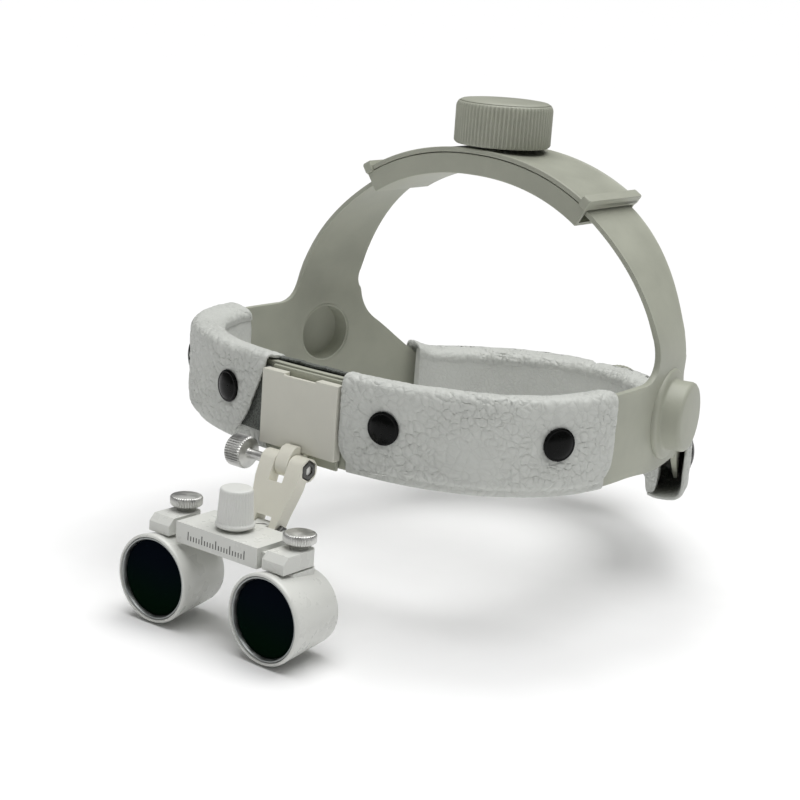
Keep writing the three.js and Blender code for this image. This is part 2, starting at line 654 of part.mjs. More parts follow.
// The slide plate with its tongue: the tongue hooks round the cover's lower edge and carries the hinge.
function slidePlate() {
  const { halfWidth, front, back, top, bottom } = SLIDE;
  const plate = block([-halfWidth, front, bottom], [halfWidth, back, top]);
  const shape = new THREE.Shape();
  shape.moveTo(SLIDE.back, SLIDE.bottom + 2);
  shape.lineTo(SLIDE.front, SLIDE.bottom + 2);
  shape.lineTo(SLIDE.front, BRACKET.bottom - 0.5);
  shape.lineTo(BRACKET.front - 0.4, BRACKET.bottom - 0.5);
  shape.lineTo(BRACKET.front - 0.4, -8.5);
  shape.lineTo(-113.1, -8.8);
  shape.absarc(FLIP.y, FLIP.z, FLIP.radius, HALF_TURN - 0.3, 1.5 * HALF_TURN, false);
  shape.lineTo(SLIDE.back, FLIP.z - FLIP.radius);
  const tongue = sidePlate(shape, SLIDE.tongueHalf);
  return cut(join(plate, tongue), hingeHole(FLIP, FLIP.pin + CLEARANCE, 12));
}

// ---------------------------------------------------------------- flip-up arm

// Side outline of the arm: a round head at the flip hinge, a plate flush with its front, a round foot.
function armShape() {
  const heading = Math.atan2(TILT.z - FLIP.z, TILT.y - FLIP.y);
  const shape = new THREE.Shape();
  shape.absarc(FLIP.y, FLIP.z, FLIP.radius, heading + FLIP.neckAngle, heading - QUARTER_TURN, false);
  shape.absarc(TILT.y, TILT.z, TILT.radius, heading - QUARTER_TURN, heading + QUARTER_TURN, false);
  return shape;
}

// What is cut from the arm's two sides to narrow it from its head to its foot.
function armSideCut(side) {
  const across = new THREE.Shape();
  across.moveTo(FLIP.halfWidth, 5);
  across.lineTo(FLIP.halfWidth + 5, 5);
  across.lineTo(FLIP.halfWidth + 5, 30);
  across.lineTo(TILT.halfWidth, 30);
  across.lineTo(TILT.halfWidth, 20);
  across.closePath();
  const solid = new THREE.ExtrudeGeometry(across, { depth: 24, bevelEnabled: false }).translate(0, 0, -12);
  const heading = Math.atan2(TILT.z - FLIP.z, TILT.y - FLIP.y);
  solid.rotateX(heading).translate(0, FLIP.y, FLIP.z);
  return side > 0 ? solid : mirrored(solid);
}

const nut = { radius: 3.5, half: 1.25, x: 8.5 };

function hexagon(radius, from, to) {
  const prism = new THREE.CylinderGeometry(radius, radius, to - from, 6);
  return prism.rotateX(QUARTER_TURN).translate(0, 0, (from + to) / 2);
}

function flipArm() {
  const body = sidePlate(armShape(), FLIP.halfWidth);
  const tongueSlot = hingeHole(FLIP, FLIP.slotRadius, SLIDE.tongueHalf + CLEARANCE);
  const knuckleSlot = hingeHole(TILT, TILT.slotRadius, TILT.knuckleHalf + CLEARANCE);
  const pocket = towardsX(hexagon(nut.radius + 0.4, nut.x - nut.half - CLEARANCE, 12))
    .translate(0, FLIP.y, FLIP.z);
  return cut(body, tongueSlot, knuckleSlot, pocket, armSideCut(1), armSideCut(-1),
    hingeHole(FLIP, FLIP.pin + CLEARANCE, 12), hingeHole(TILT, TILT.pin + CLEARANCE, 12));
}

function flipNut() {
  const body = hexagon(nut.radius, nut.x - nut.half, nut.x + nut.half);
  return towardsX(cut(body, rod(FLIP.pin + CLEARANCE, 0, 20))).translate(0, FLIP.y, FLIP.z);
}

const thumb = { radius: 5.85, from: -26, neckFrom: -18.7, shoulder: -9.9, collar: 2.8, end: 9.2 };

function flipThumbscrew() {
  const { radius, from, neckFrom, shoulder, collar, end } = thumb;
  const outline = [[0, from], [radius - 0.6, from], [radius, from + 0.6], [radius, neckFrom - 0.6],
    [radius - 0.6, neckFrom], [FLIP.pin, neckFrom], [FLIP.pin, shoulder - 1], [collar, shoulder - 1],
    [collar, shoulder], [FLIP.pin, shoulder], [FLIP.pin, end], [0, end]];
  return towardsX(turned(outline, FACETS.medium)).translate(0, FLIP.y, FLIP.z);
}

function tiltScrew() {
  const seat = TILT.halfWidth + CLEARANCE;
  const outline = [[0, -seat - 1.2], [2.3, -seat - 1.2], [2.3, -seat], [TILT.pin, -seat],
    [TILT.pin, seat + 2], [0, seat + 2]];
  return towardsX(turned(outline, FACETS.small)).translate(0, TILT.y, TILT.z);
}

function tiltNut() {
  const seat = TILT.halfWidth + CLEARANCE;
  const body = hexagon(2.5, seat, seat + 1.6);
  return towardsX(cut(body, rod(TILT.pin + CLEARANCE, 0, 20))).translate(0, TILT.y, TILT.z);
}

// ---------------------------------------------------------------- bridge and pupil-distance drive

const rackLine = (GEAR.teeth / 2 + 1.1) * PD.module;
const barTop = PD.barZ + PD.barHeight / 2;
const barBottom = PD.barZ - PD.barHeight / 2;
const floorPlate = { bottom: -40.3, top: -39.5 };

// y range of a rack bar: the left bar runs in front of the pinion and the right one behind it.
function barRange(side) {
  const [near, far] = [PD.y - side * rackLine, PD.y - side * (rackLine + PD.barDepth)];
  return [Math.min(near, far), Math.max(near, far)];
}

function bridgeBody() {
  const { half, front, back, top, bottom, wall } = BRIDGE;
  const shell = block([-half, front, bottom], [half, back, top]);
  const cavity = block([wall - half, front + wall, bottom - 1], [half - wall, back - wall, top - wall]);
  const windows = [1, -1].map((side) => {
    const [low, high] = barRange(side);
    const teethDepth = 2 * PD.module;
    const [from, to] = side > 0 ? [low - CLEARANCE, high + teethDepth] : [low - teethDepth, high + CLEARANCE];
    const xs = side > 0 ? [half - 5, half + 5] : [-half - 5, 5 - half];
    return block([xs[0], from, barBottom - CLEARANCE], [xs[1], to, barTop + CLEARANCE]);
  });
  const shaftHole = rod(2.3, -50, -20).translate(0, PD.y, 0);
  const neck = block([-TILT.knuckleHalf, back - 1, TILT.z - 2.2], [TILT.knuckleHalf, TILT.y, TILT.z + 2.2]);
  const knuckle = hingeHole(TILT, TILT.knuckle, TILT.knuckleHalf);
  const hollow = cut(shell, cavity, ...windows, shaftHole);
  return cut(join(hollow, neck, knuckle), hingeHole(TILT, TILT.pin + CLEARANCE, 12));
}

function bridgeFloor() {
  const { half, front, back, wall } = BRIDGE;
  const inset = wall + CLEARANCE;
  return block([inset - half, front + inset, floorPlate.bottom], [half - inset, back - inset, floorPlate.top]);
}

// Hollow tapered knob on a flange.
function pdKnob() {
  const flange = BRIDGE.top + CLEARANCE;
  const top = PD.knobTop;
  return turned([[1.9, flange], [6.9, flange], [6.9, flange + 1.6], [6.2, flange + 2.2], [5.4, top - 0.8],
    [4.6, top], [0, top], [0, top - 3], [1.9, top - 3]], FACETS.medium).translate(0, PD.y, 0);
}

function pdPinion() {
  const shaft = rod(1.6, -38.9, PD.knobTop - 3.3);
  return join(gear(PD.module, -38.9, -34.8), shaft).translate(0, PD.y, 0);
}

// A carriage: the block that clamps a telescope, and the rack bar that runs into the bridge.
function carriage(side) {
  const { halfWidth, front, back, top, bottom, chamfer } = BLOCK;
  const outline = new THREE.Shape();
  outline.moveTo(-halfWidth, front);
  outline.lineTo(halfWidth, front);
  outline.lineTo(halfWidth, back - 1.5);
  outline.lineTo(halfWidth - 1.5, back);
  outline.lineTo(1.5 - halfWidth, back);
  outline.lineTo(-halfWidth, back - 1.5);
  const options = { depth: top - bottom, bevelEnabled: false };
  const body = new THREE.ExtrudeGeometry(outline, options).translate(0, 0, bottom);
  const wedge = block([-20, -chamfer, -chamfer], [20, chamfer, chamfer]).rotateX(QUARTER_TURN / 2)
    .translate(0, front, top);
  const hole = rod(2.1, -60, -20).translate(0, SCOPE.pivotY, 0);
  const clamp = cut(body, wedge, hole).translate(side * SCOPE.x, 0, 0);
  const [low, high] = barRange(side);
  const xs = [-11.2, SCOPE.x - halfWidth + 1.3].map((x) => side * x).sort((a, b) => a - b);
  const bar = block([xs[0], low, barBottom], [xs[1], high, barTop]);
  const teeth = rackTeeth(-5, 3, PD.module, PD.barHeight, (tooth, x) => {
    if (side < 0) tooth.rotateZ(HALF_TURN);
    return tooth.translate(side * x, PD.y, PD.barZ);
  });
  return join(clamp, bar, ...teeth);
}

function clampThumbscrew(side) {
  const top = -28.2;
  const outline = [[0, -42.6], [1.8, -42.6], [1.8, BLOCK.top + CLEARANCE], [3.4, BLOCK.top + CLEARANCE],
    [4, top - 3.6], [5.1, top - 3.4], [5.75, top - 2.8], [5.75, top - 0.5], [5.2, top], [0, top]];
  return turned(outline, FACETS.medium).translate(side * SCOPE.x, SCOPE.pivotY, 0);
}

// ---------------------------------------------------------------- telescopes

// A telescope's pieces are made pointing along +Z from the rear and laid along -Y at their place.
function laidForward(geometry, side) {
  const rear = SCOPE.front + SCOPE.length;
  geometry.rotateX(QUARTER_TURN).translate(0, rear, SCOPE.z);
  geometry.translate(0, -SCOPE.pivotY, 0).rotateZ(side * -SCOPE.toeIn);
  return geometry.translate(side * SCOPE.x, SCOPE.pivotY, 0);
}

const objective = { seat: 14.8, ringOuter: 14.5, ringInner: 13.7, lens: 13.4, depth: 4.6 };
const eyepiece = { seat: 10.6, ringOuter: 10.3, ringInner: 9.1, lens: 8.8 };

function barrel(side) {
  const { frontRadius, rearRadius, length } = SCOPE;
  const shoulder = length - objective.depth;
  const tubeBody = turned([[eyepiece.seat, 0], [rearRadius - 0.8, 0], [rearRadius, 0.9],
    [frontRadius - 0.25, length - 2.6], [frontRadius, length - 0.7], [frontRadius - 0.5, length],
    [objective.seat, length], [objective.seat, shoulder],
    [12.8, shoulder], [9.4, 3.2], [9.4, 2.7], [eyepiece.seat, 2.7]]);
  laidForward(tubeBody, side);
  const lugTop = BLOCK.bottom - CLEARANCE;
  const lug = block([-4.6, SCOPE.pivotY - 8.6, SCOPE.z + 11.2], [4.6, SCOPE.pivotY + 4.4, lugTop]);
  const hole = rod(2.1, -43, -20).translate(0, SCOPE.pivotY, 0);
  const bored = cut(lug, hole).translate(side * SCOPE.x, 0, 0);
  const wallHole = rod(2.1, -43, -20).translate(side * SCOPE.x, SCOPE.pivotY, 0);
  return cut(join(tubeBody, bored), wallHole);
}

function objectiveRing(side) {
  const { ringOuter, ringInner, depth } = objective;
  const from = SCOPE.length - depth + CLEARANCE;
  return laidForward(tube(ringInner, ringOuter, from, SCOPE.length - 0.5, FACETS.large), side);
}

function objectiveLens(side) {
  const rear = SCOPE.length - objective.depth + CLEARANCE;
  const front = SCOPE.length - 1.9;
  const r = objective.lens;
  return laidForward(turned([[0, rear], [r, rear], [r, front], [r * 0.75, front + 0.45], [r * 0.4, front + 0.8],
    [0, front + 0.95]]), side);
}

const eyepieceRing = (side) => laidForward(tube(eyepiece.ringInner, eyepiece.ringOuter, 0.3, 2.4), side);
function eyepieceLens(side) {
  const outline = [[0, 1.1], [eyepiece.lens, 0.7], [eyepiece.lens, 2.2], [0, 2.0]];
  return laidForward(turned(outline, FACETS.medium), side);
}

// ---------------------------------------------------------------- assembly

const loupes = new THREE.Group();

function add(name, geometry, finish, parent = loupes) {
  const mesh = new THREE.Mesh(geometry, new THREE.MeshStandardMaterial(FINISH[finish]));
  mesh.name = name;
  parent.add(mesh);
}

function addAdjuster(prefix, place) {
  const radius = KNOB_RADIUS[prefix];
  const group = new THREE.Group();
  place(group);
  add(`${prefix}_knob`, knobBody(radius), 'plastic', group);
  add(`${prefix}_knob_cap`, knobCap(radius), 'plastic', group);
  add(`${prefix}_pinion`, adjusterPinion(), 'white', group);
  add(`${prefix}_washer`, adjusterWasher(), 'satin', group);
  add(`${prefix}_knob_screw`, adjusterScrew(), 'satin', group);
  loupes.add(group);
}

add('front_band', frontBand(), 'plastic');
add('left_strap', strap(1), 'plastic');
add('right_strap', strap(-1), 'plastic');
add('left_rear_arm', rearArm(1), 'plastic');
add('right_rear_arm', rearArm(-1), 'plastic');
add('crown_base', crownBase(), 'plastic');
add('crown_cover', crownCover(), 'plastic');
addAdjuster('crown', (group) => group.position.set(0, ARCH.y, ARCH.height));
add('rear_base', rearBase(), 'plastic');
add('rear_cover', rearCover(), 'plastic');
addAdjuster('rear', (group) => {
  group.rotation.x = -QUARTER_TURN;
  group.position.set(0, rearY, rearZ);
});
add('front_cushion', frontCushion(), 'leather');
add('rear_cushion', rearCushion(), 'leather');
for (const { name, frame } of frontSnaps) add(name, snapCap(frame, FRONT_PAD, SNAP.z), 'snap');
for (const { name, frame, z } of rearSnaps) add(name, snapCap(frame, REAR_PAD, z), 'snap');

add('bracket_base', bracketBase(), 'plastic');
add('bracket_screw_upper', bracketScrew(screwHeights[0]), 'satin');
add('bracket_screw_lower', bracketScrew(screwHeights[1]), 'satin');
add('bracket_cover', bracketCover(), 'cream');
add('slide_plate', slidePlate(), 'cream');
add('flip_arm', flipArm(), 'cream');
add('flip_nut', flipNut(), 'dark');
add('flip_thumbscrew', flipThumbscrew(), 'satin');
add('tilt_screw', tiltScrew(), 'satin');
add('tilt_nut', tiltNut(), 'dark');

add('bridge_body', bridgeBody(), 'white');
add('bridge_floor', bridgeFloor(), 'white');
add('pd_knob', pdKnob(), 'white');
add('pd_pinion', pdPinion(), 'white');
for (const [hand, side] of [['left', 1], ['right', -1]]) {
  add(`${hand}_carriage`, carriage(side), 'white');
  add(`${hand}_thumbscrew`, clampThumbscrew(side), 'satin');
  add(`${hand}_barrel`, barrel(side), 'white');
  add(`${hand}_objective_ring`, objectiveRing(side), 'ring');
  add(`${hand}_objective_lens`, objectiveLens(side), 'lens');
  add(`${hand}_eyepiece_ring`, eyepieceRing(side), 'ring');
  add(`${hand}_eyepiece_lens`, eyepieceLens(side), 'lens');
}

export default loupes;
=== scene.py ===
"""The visual model of a pair of head-worn dental loupes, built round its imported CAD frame.
Lengths are in millimetres until a mesh is made. +X is the wearer's left, -Y forward, +Z up."""

import json
import math

import bmesh
import bpy
import numpy as np
from mathutils import Matrix, Vector


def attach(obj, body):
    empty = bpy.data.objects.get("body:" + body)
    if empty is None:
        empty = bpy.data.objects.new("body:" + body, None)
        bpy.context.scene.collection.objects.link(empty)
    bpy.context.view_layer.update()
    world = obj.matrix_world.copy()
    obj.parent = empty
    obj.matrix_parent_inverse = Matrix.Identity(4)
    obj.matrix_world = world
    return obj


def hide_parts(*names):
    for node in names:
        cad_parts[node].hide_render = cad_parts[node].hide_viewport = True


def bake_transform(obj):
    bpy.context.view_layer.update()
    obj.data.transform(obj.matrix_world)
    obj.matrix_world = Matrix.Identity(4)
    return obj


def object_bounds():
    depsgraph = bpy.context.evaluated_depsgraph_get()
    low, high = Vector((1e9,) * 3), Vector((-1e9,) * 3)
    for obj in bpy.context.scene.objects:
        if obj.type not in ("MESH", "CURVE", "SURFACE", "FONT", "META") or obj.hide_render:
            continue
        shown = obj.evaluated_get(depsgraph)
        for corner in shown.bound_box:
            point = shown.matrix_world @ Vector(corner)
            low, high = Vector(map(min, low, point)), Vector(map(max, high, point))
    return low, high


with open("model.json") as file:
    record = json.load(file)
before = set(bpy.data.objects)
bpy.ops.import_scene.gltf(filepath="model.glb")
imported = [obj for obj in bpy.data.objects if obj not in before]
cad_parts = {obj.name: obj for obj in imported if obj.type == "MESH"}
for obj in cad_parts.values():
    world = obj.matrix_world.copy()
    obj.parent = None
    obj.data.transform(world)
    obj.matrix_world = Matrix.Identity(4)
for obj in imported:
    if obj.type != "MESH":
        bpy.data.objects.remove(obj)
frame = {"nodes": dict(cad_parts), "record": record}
cad_low, cad_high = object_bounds()

MM = 0.001

# ------------------------------------------------------------------ sizes shared with the CAD frame

PLAN = dict(half_width=87.0, widest_y=-38.0, front=64.6, rear=128.0, front_power=2.5)
ARCH = dict(half_width=85.5, height=85.8, power=2.16, y=1.8)
TEMPLE = dict(z=3.0, y=1.0)
BAND_TOP, BAND_BOTTOM = 17.5, -14.6
LAYER = 1.45
REAR_Y = PLAN["widest_y"] + PLAN["rear"]
REAR_Z = -24.0
LEG_PASS = 24.0

FLIP = Vector((0, -112.5, -15.2))
TILT = Vector((0, -123.0, -36.0))
PD_Y = -138.4
SCOPE_X, SCOPE_FRONT, SCOPE_Z, SCOPE_LENGTH = 26.4, -151.6, -55.2, 24.2
PIVOT_Y = -135.2
TOE_IN = math.radians(1.5)

SIDES = (("left", 1), ("right", -1))


def smooth(low, high, value):
    t = np.clip((np.asarray(value, float) - low) / (high - low), 0, 1)
    return t * t * (3 - 2 * t)


def mix(a, b, t):
    return a + (b - a) * t


# ------------------------------------------------------------------ curves of the headband


def plan_rows():
    angle = np.linspace(-math.pi / 2, math.pi / 2, 3001)
    ahead = angle < 0
    depth = np.where(ahead, PLAN["front"], PLAN["rear"])
    power = np.where(ahead, 2 / PLAN["front_power"], 1.0)
    x = PLAN["half_width"] * np.abs(np.cos(angle)) ** power
    y = PLAN["widest_y"] + np.sign(angle) * depth * np.abs(np.sin(angle)) ** power
    x[0] = x[-1] = 0
    length = np.concatenate([[0], np.cumsum(np.hypot(np.diff(x), np.diff(y)))])
    return x, y, length


PLAN_X, PLAN_Y, PLAN_S = plan_rows()
HALF_PLAN = PLAN_S[-1]


def station_at_y(y):
    return float(PLAN_S[np.argmax(PLAN_Y >= y)])


def station_at_x(x):
    return float(PLAN_S[np.argmax(PLAN_X >= x)])


def plan_at(length):
    """x, y and the outward normal of the band's centreline; right-hand lengths are negative."""
    length = np.asarray(length, float)
    side = np.where(length < 0, -1.0, 1.0)
    along = np.abs(length)
    past = along > HALF_PLAN
    along = np.where(past, 2 * HALF_PLAN - along, along)
    side = np.where(past, -side, side)
    step = 0.6
    low, high = np.clip(along - step, 0, HALF_PLAN), np.clip(along + step, 0, HALF_PLAN)
    tx = np.interp(high, PLAN_S, PLAN_X) - np.interp(low, PLAN_S, PLAN_X)
    ty = np.interp(high, PLAN_S, PLAN_Y) - np.interp(low, PLAN_S, PLAN_Y)
    size = np.hypot(tx, ty)
    x = side * np.interp(along, PLAN_S, PLAN_X)
    y = np.interp(along, PLAN_S, PLAN_Y)
    return x, y, side * ty / size, -tx / size


def arch_rows():
    power = 2 / ARCH["power"]
    angle = np.linspace(0.02, math.pi - 0.02, 4000)
    x = ARCH["half_width"] * np.sign(np.cos(angle)) * np.abs(np.cos(angle)) ** power
    z = ARCH["height"] * np.sin(angle) ** power
    length = np.concatenate([[0], np.cumsum(np.hypot(np.diff(x), np.diff(z)))])
    start = length[np.argmax(z >= 24.0)]
    return x, z, length - start + 24.0


ARCH_X, ARCH_Z, ARCH_H = arch_rows()
CROWN_H = float(ARCH_H[np.argmax(ARCH_X <= 0)])


def arch_height_at_x(x):
    return float(ARCH_H[np.argmax(ARCH_X <= x)])


def arch_at(height):
    """x, z and outward normal of the left half of the strap arch, by length along it."""
    height = np.maximum(height, ARCH_H[0] + 1.0)
    x, z = np.interp(height, ARCH_H, ARCH_X), np.interp(height, ARCH_H, ARCH_Z)
    tx = np.interp(height + 0.5, ARCH_H, ARCH_X) - np.interp(height - 0.5, ARCH_H, ARCH_X)
    tz = np.interp(height + 0.5, ARCH_H, ARCH_Z) - np.interp(height - 0.5, ARCH_H, ARCH_Z)
    size = np.hypot(tx, tz)
    return x, z, tz / size, -tx / size


TEMPLE_S = station_at_y(TEMPLE["y"])
STRAP_S = station_at_y(ARCH["y"])
_, _, temple_nx, temple_ny = plan_at(TEMPLE_S)
PLATE_TURN = math.atan2(float(temple_ny), float(temple_nx))


def arm_middle(y):
    return TEMPLE["z"] - 27.0 * smooth(5, 54, y)


def arm_slope(y):
    return arm_middle(np.asarray(y) + 0.5) - arm_middle(np.asarray(y) - 0.5)


# ------------------------------------------------------------------ mesh helpers


def new_object(name, mesh):
    obj = bpy.data.objects.new(name, mesh)
    bpy.context.scene.collection.objects.link(obj)
    return obj


def from_bmesh(name, bm):
    bmesh.ops.recalc_face_normals(bm, faces=bm.faces)
    mesh = bpy.data.meshes.new(name)
    bm.to_mesh(mesh)
    bm.free()
    mesh.shade_smooth()
    mesh.set_sharp_from_angle(angle=math.radians(38))
    return new_object(name, mesh)


def from_lists(name, points, faces):
    bm = bmesh.new()
    verts = [bm.verts.new(Vector(p) * MM) for p in points]
    for face in faces:
        if len(set(face)) > 2:
            bm.faces.new([verts[i] for i in face])
    return from_bmesh(name, bm)


def bake(obj):
    bpy.context.view_layer.update()
    graph = bpy.context.evaluated_depsgraph_get()
    mesh = bpy.data.meshes.new_from_object(obj.evaluated_get(graph))
    obj.modifiers.clear()
    obj.data = mesh
    return obj


def combine(obj, others, operation):
    for other in others:
        modifier = obj.modifiers.new("combine", "BOOLEAN")
        modifier.operation = operation
        modifier.object = other
        modifier.solver = "EXACT"
    bake(obj)
    for other in others:
        bpy.data.objects.remove(other)
    return obj


def cut(obj, *others):
    return combine(obj, others, "DIFFERENCE")


def join(obj, *others):
    return combine(obj, others, "UNION")


def rounded(obj, width, segments=3):
    modifier = obj.modifiers.new("bevel", "BEVEL")
    modifier.width = width * MM
    modifier.segments = segments
    modifier.limit_method = "ANGLE"
    modifier.angle_limit = math.radians(33)
    modifier.harden_normals = True
    obj.data.shade_smooth()
    return bake(obj)


def round_corners(points, radius, segments=4):
    """A closed 2-D outline with each corner replaced by an arc."""
    result = []
    count = len(points)
    for i in range(count):
        before, here, after = (Vector(points[(i + k) % count]) for k in (-1, 0, 1))
        a, b = before - here, after - here
        reach = min(radius, a.length * 0.45, b.length * 0.45)
        start, end = here + a.normalized() * reach, here + b.normalized() * reach
        for k in range(segments + 1):
            t = k / segments
            result.append(tuple((1 - t) ** 2 * start + 2 * t * (1 - t) * here + t * t * end))
    return result


def prism_faces(count):
    """The faces of a prism whose two ends are outlines of this many points, listed one after the other."""
    ends = [list(range(count)), list(range(count, 2 * count))]
    return ends + [[i, (i + 1) % count, count + (i + 1) % count, count + i] for i in range(count)]


def prism(name, outline, low, high, axis="z"):
    """An outline extruded along one axis. The outline holds the other two coordinates in order."""
    def place(a, b, c):
        return {"x": (c, a, b), "y": (a, c, b), "z": (a, b, c)}[axis]
    points = [place(a, b, c) for c in (low, high) for a, b in outline]
    return from_lists(name, points, prism_faces(len(outline)))


def block(name, low, high):
    outline = [(low[0], low[1]), (high[0], low[1]), (high[0], high[1]), (low[0], high[1])]
    return prism(name, outline, low[2], high[2])


def lathe(name, profile, segments=72, place=None, warp=None):
    """A solid of revolution about +Z from a closed profile of (radius, height) points.
    warp(radius, height, angle) may change the radius, for ribs and knurls."""
    points, rows = [], []
    for radius, height in profile:
        if radius < 1e-6:
            rows.append([len(points)] * segments)
            points.append((0, 0, height))
            continue
        row = []
        for k in range(segments):
            angle = 2 * math.pi * k / segments
            r = warp(radius, height, angle) if warp else radius
            row.append(len(points))
            points.append((r * math.cos(angle), r * math.sin(angle), height))
        rows.append(row)
    on_axis = profile[0][0] < 1e-6 and profile[-1][0] < 1e-6
    faces = []
    for i in range(len(rows) - (1 if on_axis else 0)):
        a, b = rows[i], rows[(i + 1) % len(rows)]
        for k in range(segments):
            n = (k + 1) % segments
            face = []
            for index in (a[k], a[n], b[n], b[k]):
                if index not in face:
                    face.append(index)
            if len(face) > 2:
                faces.append(face)
    if place is not None:
        points = [tuple(place @ Vector(p)) for p in points]
    return from_lists(name, points, faces)


def loft(name, rings, end_bevel=0.0):
    """A closed skin through equal rings of points, with a flat cap at each end."""
    rings = np.asarray(rings, float)
    count, size = rings.shape[:2]
    bm = bmesh.new()
    verts = [[bm.verts.new(Vector(p) * MM) for p in ring] for ring in rings]
    for i in range(count - 1):
        for k in range(size):
            n = (k + 1) % size
            bm.faces.new([verts[i][k], verts[i][n], verts[i + 1][n], verts[i + 1][k]])
    caps = [bm.faces.new(verts[0]), bm.faces.new(verts[-1])]
    if end_bevel:
        edges = list({edge for cap in caps for edge in cap.edges})
        bmesh.ops.bevel(bm, geom=edges, offset=end_bevel * MM, segments=3, profile=0.5, affect="EDGES")
    return from_bmesh(name, bm)


def grid_normals(points):
    """Unit normals of a grid of points, as rows x columns x 3."""
    du = np.gradient(points, axis=0)
    dv = np.gradient(points, axis=1)
    normal = np.cross(du, dv)
    return normal / np.linalg.norm(normal, axis=2, keepdims=True)


def sheet(name, points, half, bevel=0.35):
    """A closed sheet round a grid of points. half is half its thickness at each point."""
    normal = grid_normals(points)
    top, bottom = points + normal * half[..., None], points - normal * half[..., None]
    rows, columns = points.shape[:2]
    bm = bmesh.new()
    upper = [[bm.verts.new(Vector(p) * MM) for p in row] for row in top]
    lower = [[bm.verts.new(Vector(p) * MM) for p in row] for row in bottom]
    for i in range(rows - 1):
        for k in range(columns - 1):
            bm.faces.new([upper[i][k], upper[i + 1][k], upper[i + 1][k + 1], upper[i][k + 1]])
            bm.faces.new([lower[i][k], lower[i][k + 1], lower[i + 1][k + 1], lower[i + 1][k]])
    loop = [(i, 0) for i in range(rows)] + [(rows - 1, k) for k in range(1, columns)]
    loop += [(i, columns - 1) for i in range(rows - 2, -1, -1)] + [(0, k) for k in range(columns - 2, 0, -1)]
    edges = []
    for (a, b), (c, d) in zip(loop, loop[1:] + loop[:1]):
        bm.faces.new([upper[a][b], upper[c][d], lower[c][d], lower[a][b]])
        edges.append(bm.edges.get((upper[a][b], upper[c][d])))
        edges.append(bm.edges.get((lower[a][b], lower[c][d])))
    if bevel:
        bmesh.ops.bevel(bm, geom=edges, offset=bevel * MM, segments=3, profile=0.5, affect="EDGES",
                        clamp_overlap=False)
    return from_bmesh(name, bm)


# ------------------------------------------------------------------ materials


class Nodes:
    """A short way to wire a procedural material."""

    def __init__(self, name):
        self.material = bpy.data.materials.new(name)
        self.material.use_nodes = True
        self.tree = self.material.node_tree
        self.shader = self.tree.nodes["Principled BSDF"]
        self.place = self.add("ShaderNodeTexCoord").outputs["Object"]

    def add(self, kind, **values):
        node = self.tree.nodes.new(kind)
        for key, value in values.items():
            if key in node.inputs:
                self.feed(node.inputs[key], value)
            else:
                setattr(node, key, value)
        return node

    def feed(self, socket, value):
        if isinstance(value, bpy.types.NodeSocket):
            self.tree.links.new(value, socket)
        else:
            socket.default_value = value

    def noise(self, scale, detail=3.0, roughness=0.5, distortion=0.0):
        node = self.add("ShaderNodeTexNoise")
        self.feed(node.inputs["Vector"], self.place)
        self.feed(node.inputs["Scale"], scale)
        self.feed(node.inputs["Detail"], detail)
        self.feed(node.inputs["Roughness"], roughness)
        self.feed(node.inputs["Distortion"], distortion)
        return node.outputs["Fac"]

    def remap(self, value, low, high, to_low=0.0, to_high=1.0):
        node = self.add("ShaderNodeMapRange", interpolation_type="SMOOTHSTEP")
        for key, item in zip(("Value", "From Min", "From Max", "To Min", "To Max"),
                             (value, low, high, to_low, to_high)):
            self.feed(node.inputs[key], item)
        return node.outputs["Result"]

    def math(self, operation, a, b=0.0):
        node = self.add("ShaderNodeMath", operation=operation)
        self.feed(node.inputs[0], a)
        self.feed(node.inputs[1], b)
        return node.outputs[0]

    def colour(self, factor, a, b):
        node = self.add("ShaderNodeMix", data_type="RGBA", blend_type="MIX")
        self.feed(node.inputs["Factor"], factor)
        self.feed(node.inputs[6], a)
        self.feed(node.inputs[7], b)
        return node.outputs[2]

    def bump(self, height, distance, strength=1.0, normal=None):
        node = self.add("ShaderNodeBump")
        self.feed(node.inputs["Height"], height)
        self.feed(node.inputs["Distance"], distance)
        self.feed(node.inputs["Strength"], strength)
        if normal is not None:
            self.feed(node.inputs["Normal"], normal)
        return node.outputs["Normal"]

    def set(self, **values):
        for key, value in values.items():
            self.feed(self.shader.inputs[key.replace("_", " ")], value)
        return self

    def edges(self):
        """Near 1 on convex edges, where handling polishes or scuffs a surface."""
        geometry = self.add("ShaderNodeNewGeometry")
        return self.remap(geometry.outputs["Pointiness"], 0.52, 0.6)


def grey(r, g, b):
    """An sRGB colour of 0 to 255 as linear values."""
    def linear(c):
        c /= 255
        return c / 12.92 if c <= 0.04045 else ((c + 0.055) / 1.055) ** 2.4
    return (linear(r), linear(g), linear(b), 1.0)


def scaled(colour, factor):
    return tuple(c * factor for c in colour[:3]) + (1.0,)


def moulded(name, colour, roughness=0.45, grain=0.02, wear=0.12, specular=0.4, mottling=0.07):
    """Moulded plastic: faint flow mottling, a fine matt grain and slightly polished edges."""
    n = Nodes(name)
    cloud = n.noise(45, 4, 0.55)
    tint = n.colour(n.remap(cloud, 0.3, 0.7), scaled(colour, 1 - mottling), scaled(colour, 1 + mottling))
    dust = n.remap(n.noise(900, 2), 0.62, 0.75)
    tint = n.colour(n.math("MULTIPLY", dust, 0.06), tint, scaled(colour, 0.55))
    tint = n.colour(n.math("MULTIPLY", n.edges(), wear), tint, scaled(colour, 1.35))
    fine = n.bump(n.noise(2600, 2, 0.6), 0.00008, grain * 10)
    broad = n.bump(n.noise(130, 2), 0.0004, 0.12, fine)
    n.set(Base_Color=tint, Roughness=n.remap(cloud, 0.2, 0.8, roughness - 0.05, roughness + 0.07),
          Normal=broad, Specular_IOR_Level=specular)
    return n.material


